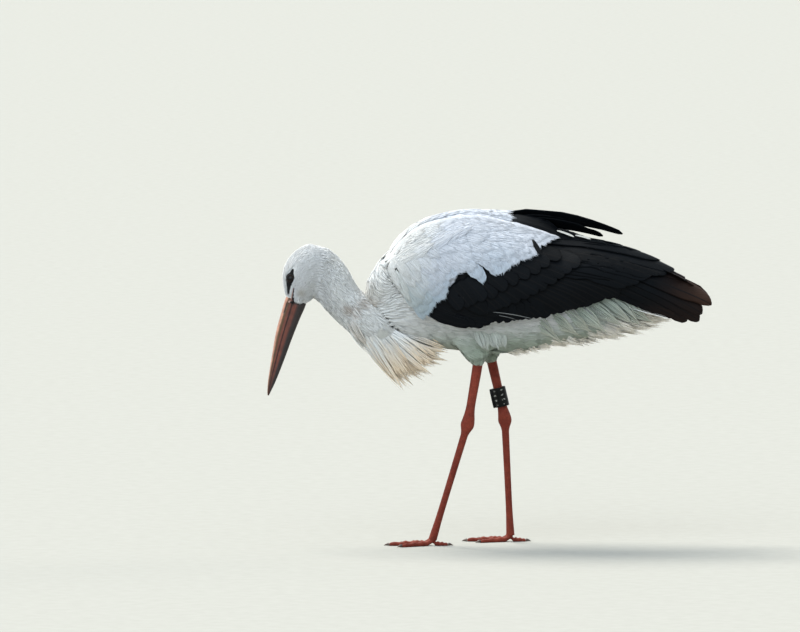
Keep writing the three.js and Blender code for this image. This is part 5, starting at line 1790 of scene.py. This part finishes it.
def undertail():
    coat = Coat("coat_undertail", soft=0.2)
    side_coverts(coat)
    size = UNDERTAIL
    roots, tips = curve(size["roots"]), curve(size["tips"])
    for i in range(size["count"]):
        t = i / (size["count"] - 1)
        k = np.linspace(-1, 1, size["across"]) + (0.12 if i % 2 else -0.12)
        root, tip = roots(t), tips(t)
        start = np.stack([root[0] + 0 * k, size["spread"][0] * k * (1 - size["narrowed"] * t),
                          root[1] + size["lift"][0] * k * k], axis=1)
        end = np.stack([tip[0] + 0 * k, size["spread"][1] * k, tip[1] + size["lift"][1] * k * k], axis=1)
        end = end + rng.normal(0, 3.5, end.shape)
        outwards = unit(np.stack([0 * k, size["outwards"] * k, -1 + 0 * k], axis=1))
        end = start + (end - start) * rng.uniform(0.88, 1.05, (len(k), 1))
        # Brighter than the plumage elsewhere: partly a painted glow of backlight.
        tint = mix(tinted(start), UNDERTAIL_WHITE_GLOW, 0.85 + 0.1 * t)
        hanging(coat, start, end, outwards, 2.0, 7, rng.uniform(15, 22, len(k)), 9, (0.5, 0.5), tint,
                fan=0.35, fade=(UNDERTAIL_TIP_GLOW, 0.8))
    coat.build()


# ---------------------------------------------------------------- legs

SHIN = {"depth": 8.0, "width": 6.6}
ANKLE = {"depth": 12.0, "width": 8.6, "height": 19}
TARSUS = {"depth": 6.4, "width": 5.2}
# Toes: degrees turned out from straight ahead, length and half thickness.
TOES = {"inner": (-24, 58, 4.6), "middle": (2, 76, 5.0), "outer": (30, 62, 4.6), "hind": (176, 27, 4.2)}
# A toe's joints: [share of its length, share of its half thickness].
KNUCKLES = [
    [0, 1.25], [0.18, 0.98], [0.27, 0.92], [0.36, 1.1], [0.44, 0.9], [0.5, 0.84], [0.56, 0.88],
    [0.62, 1.02], [0.69, 0.84], [0.76, 0.74], [0.86, 0.8], [0.94, 0.74], [1, 0.56],
]
INSTEP = {"height": 11, "share": 0.28}
SOLE = 0.8
CLAW = {"length": 9.0, "depth": 2.6, "width": 2.4, "root": 2.8, "tip": 0.7, "gap": 0.3}


def leg_sections(place):
    hip, knee, ankle, foot = (np.array(place[key], float) for key in ("hip", "knee", "ankle", "foot"))

    def above(lift):
        return mix(ankle, knee, lift / (knee[1] - ankle[1]))

    def below(drop):
        return mix(ankle, foot, drop / (ankle[1] - foot[1]))

    high, shin, joint, bone = ANKLE["height"], SHIN["depth"], ANKLE["depth"], TARSUS["depth"]
    return [
        [*mix(knee, hip, 0.30), shin, SHIN["width"]],
        [*knee, shin + 0.9, SHIN["width"] + 0.6],
        [*above(high * 2), shin - 0.2, SHIN["width"] - 0.2],
        [*above(high), shin + 0.6, SHIN["width"] + 0.3],
        [*above(high * 0.3), joint - 1.2, ANKLE["width"]],
        [*below(high * 0.3), joint - 0.2, ANKLE["width"] - 0.8],
        [*below(high), bone + 0.9, TARSUS["width"] + 0.8],
        [*below(high * 2), bone, TARSUS["width"]],
        [*below(high * 8), bone - 0.5, TARSUS["width"]],
        [*foot, bone + 1.0, TARSUS["width"] + 2],
    ]


def toe_frame(place, side, turn):
    """Where a toe starts on the floor, the way it points and the way across it."""
    heading = math.radians(turn) * side
    along = np.array([-math.cos(heading), math.sin(heading), 0])
    return np.array([place["foot"][0], place["y"], 0.0]), along, np.array([-along[1], along[0], 0])


def toe_shape(place, side, turn, length, thick):
    start, along, across = toe_frame(place, side, turn)
    at, rings = Smooth(KNUCKLES), []
    for share in np.linspace(0, 1, 40):
        half = thick * at(share)[0]
        high = max(half - SOLE, mix(INSTEP["height"], 0, share / INSTEP["share"]))
        rings.append(section(start + UP * high + along * share * length, across, UP, half, half, 14))
    return loft(rings)


def claw_shape(place, side, turn, length):
    start, along, across = toe_frame(place, side, turn)
    rings = []
    for share in np.linspace(0, 1, 14):
        half = mix(1, 0.10, share**1.6)
        high = mix(CLAW["root"], CLAW["tip"], share**1.5) + 0.5 * math.sin(math.pi * share)
        centre = start + UP * high + along * (length + CLAW["gap"] + share * CLAW["length"])
        depth = CLAW["depth"] * half
        rings.append(section(centre, across, UP, CLAW["width"] * half, depth, 16, low=min(depth, high)))
    return loft(rings)


def leg_material():
    """Small many-sided scales, dusty and brick red, darker in the grooves between them."""
    m = Nodes("leg_skin")
    seat = m.seat()
    inputs = {"Vector": m.scaled(seat, (1.0, 1.0, 0.62)), "Scale": 330.0}
    scale = m.node("ShaderNodeTexVoronoi", inputs, feature="DISTANCE_TO_EDGE").outputs["Distance"]
    plate = m.math("MULTIPLY", scale, 5.0, use_clamp=True)
    warp, dust = m.noise(120.0, seat, 2.0), m.noise(35.0, seat, 4.0, 0.6)
    base = m.ramp(dust, (0.3, (0.130, 0.016, 0.008)), (0.7, (0.195, 0.034, 0.018)))
    scaled = m.blend(base, m.grey(plate, (0.0, 0.62), (0.4, 1.0)))
    colour = m.blend(scaled, m.grey(warp, (0.3, 0.82), (0.7, 1.1)))
    relief = m.plus(m.math("SMOOTH_MIN", plate, 0.6, 0.4), m.times(warp, 0.3))
    normal = m.bump(relief, 0.7, 0.0008)
    return m.set(Base_Color=colour, Roughness=0.62, Normal=normal, Specular_IOR_Level=0.18)


def claw_material():
    m = Nodes("claw_horn")
    worn = m.noise(260.0, m.seat(), 4.0, 0.6)
    colour = m.ramp(worn, (0.3, (0.030, 0.018, 0.014)), (0.7, (0.085, 0.050, 0.038)))
    return m.set(Base_Color=colour, Roughness=0.4, Normal=m.bump(worn, 0.3, 0.0005))


leg_finish, claw_finish = leg_material(), claw_material()
for side, name in SIDES:
    place = LEGS[name]
    shapes = [bar(leg_sections(place), place["y"], steps=6)]
    shapes += [toe_shape(place, side, *size) for size in TOES.values()]
    leg = remeshed(mesh_object(f"leg_{name}", *joined(shapes)), 1.0, 4)
    flat = points_of(leg.data)
    flat[:, 2] = np.maximum(flat[:, 2], 0.0)
    leg.data.vertices.foreach_set("co", (flat * MM).astype(np.float32).ravel())
    finish(leg, leg_finish, "leg_skin", f"shin_{name}", f"tarsus_{name}", f"foot_{name}")
    shapes = [claw_shape(place, side, *size[:2]) for size in TOES.values()]
    claws = mesh_object(f"claws_{name}", *joined(shapes))
    finish(claws, claw_finish, "claw", *[f"claw_{name}_{toe}" for toe in TOES])

# ---------------------------------------------------------------- leg ring

RING = {"inner": 10.2, "outer": 12.2, "height": 34, "up": 38, "flange": 4.5, "thick": 3.0, "slack": 0.95}


def ring_shape():
    """A bent strip of plastic whose ends meet in a flange in front of the leg."""
    inner, outer, reach = RING["inner"], RING["outer"], RING["height"] / 2
    middle, thick = (inner + outer) / 2, (outer - inner) / 2
    turns, profile = 72, 16
    rings = []
    for i in range(turns):
        angle = 2 * math.pi * i / turns
        out = np.array([math.cos(angle), math.sin(angle), 0])
        rings.append(section(out * middle, out, UP, thick, reach, profile, 9))
    band = (np.concatenate(rings), patches(turns, profile, close_rows=True, close_columns=True))
    flange = []
    for y in np.linspace(-1, 1, 7):
        centre = np.array([-(outer + (RING["flange"] - 1) / 2 - 0.1), y * RING["thick"] / 2, 0])
        fat = (1 - abs(y) ** 6) ** 0.5 * 0.04 + 0.96
        flange.append(section(centre, -np.array([1.0, 0, 0]), UP, (RING["flange"] + 1) / 2 * fat,
                              reach * fat, 24, 8))
    return joined([band, loft(flange)])


def ring_material():
    """Black plastic with worn pale dashes that spell nothing."""
    m = Nodes("ring_plastic")
    u, v, _ = m.parts(m.map("Wrap"))
    seat = m.seat()

    def between(value, low, high):
        return m.times(m.math("GREATER_THAN", value, low), m.math("LESS_THAN", value, high))

    dash = between(m.math("FRACT", m.times(v, 4.0)), 0.3, 0.62)
    bars = between(m.math("FRACT", m.times(u, 5.0)), 0.35, 0.75)
    worn, scuff = m.noise(380.0, seat, 3.0, 0.6), m.noise(90.0, seat, 4.0, 0.7)
    mark = m.times(m.times(dash, bars), m.times(between(v, 0.1, 0.9), m.math("GREATER_THAN", worn, 0.50)))
    dark = m.ramp(scuff, (0.3, (0.002, 0.0025, 0.0022)), (0.72, (0.006, 0.0065, 0.006)))
    colour = m.blend(dark, (0.22, 0.22, 0.20), mark, "MIX")
    normal = m.bump(scuff, 0.25, 0.0006)
    return m.set(Base_Color=colour, Roughness=0.38, Normal=normal, Specular_IOR_Level=0.1)


def make_ring():
    points, faces = ring_shape()
    place = LEGS["right"]
    knee, ankle = (np.array([place[key][0], place["y"], place[key][1]], float) for key in ("knee", "ankle"))
    axis = unit(knee - ankle)
    ahead = np.cross(ACROSS, axis)
    centre = ankle + axis * RING["up"] + ahead * RING["slack"]
    wrap = np.stack([np.arctan2(points[:, 1], points[:, 0]) / (2 * np.pi) + 0.5,
                     points[:, 2] / RING["height"] + 0.5], axis=1)
    world = centre + points[:, :1] * ahead + points[:, 1:2] * ACROSS + points[:, 2:] * axis
    made = mesh_object("leg_ring", world, faces)
    write_map(made, "Wrap", wrap)
    finish(made, ring_material(), "leg_ring", "ring_right")


make_ring()
breast_plumes()
flank_tufts()
undertail()
for side, name in SIDES:
    black_wing(side, name)
for side, name in SIDES:
    white_wing(side, name)
mantle()
lower_back()
head_coat()
neck_coat()
breast_coat()
body_coat("coat_back", 10.5, lambda p: p[:, 2] > 430, 52.0, 25.0, (0.4, 4.0), "tail")
body_coat("coat_belly", 10.0, lambda p: p[:, 2] <= 430, 50.0, 24.0, (0.4, 5.2), overhang=0.10, spread=0.15)
thigh_coat()
tail_coat()

# ---------------------------------------------------------------- stage

LENS = {"distance": 16.0, "elevation": math.radians(4.0), "aim": (-158.0, 0.0, 400.0), "wide": 1.40}
FLOOR_RADIUS, FLOOR_SIDES = 60000.0, 96


def stage():
    turns = np.linspace(0, 2 * np.pi, FLOOR_SIDES, endpoint=False)
    points = np.stack([np.cos(turns), np.sin(turns), 0 * turns], axis=1) * FLOOR_RADIUS
    floor = mesh_object("floor", points, [tuple(range(FLOOR_SIDES))], smooth=False)
    m = Nodes("floor")
    speck = m.noise(40.0, m.seat(), 4.0)
    colour = m.ramp(speck, (0.3, (0.285, 0.286, 0.266)), (0.7, (0.302, 0.303, 0.283)))
    floor.data.materials.append(m.set(Base_Color=colour, Roughness=0.9, Specular_IOR_Level=0.1))


# Soft suns: [from where, strength, angle in degrees, colour].
SUNS = {
    "key": ((-0.45, 0.42, 1.0), 5.3, 30, (1.0, 0.95, 0.86)),
    "back": ((0.85, 0.60, 0.45), 0.8, 20, (1.0, 0.94, 0.84)),
    "fill": ((-0.45, -0.95, 0.75), 1.85, 60, (0.84, 0.93, 1.0)),
}
SKY, SKY_STRENGTH = (0.84, 0.93, 1.0, 1), 1.06


def light_and_camera():
    scene = bpy.context.scene
    scene.view_settings.view_transform = "Standard"
    scene.world = bpy.data.worlds.new("studio")
    scene.world.use_nodes = True
    sky = scene.world.node_tree.nodes["Background"].inputs
    sky["Color"].default_value, sky["Strength"].default_value = SKY, SKY_STRENGTH
    for name, (place, power, angle, colour) in SUNS.items():
        light = bpy.data.lights.new(name, "SUN")
        light.energy, light.angle, light.color = power, math.radians(angle), colour
        placed(name, light).rotation_euler = Vector(place).to_track_quat("Z", "Y").to_euler()
    camera = bpy.data.cameras.new("camera")
    camera.sensor_width = 36.0
    camera.lens = camera.sensor_width * LENS["distance"] / LENS["wide"]
    camera.clip_end = 100
    made = scene.camera = placed("camera", camera)
    aim, tilt = Vector(LENS["aim"]) * MM, LENS["elevation"]
    made.location = aim + Vector((0, -math.cos(tilt), math.sin(tilt))) * LENS["distance"]
    made.rotation_euler = (aim - made.location).to_track_quat("-Z", "Y").to_euler()


stage()
light_and_camera()
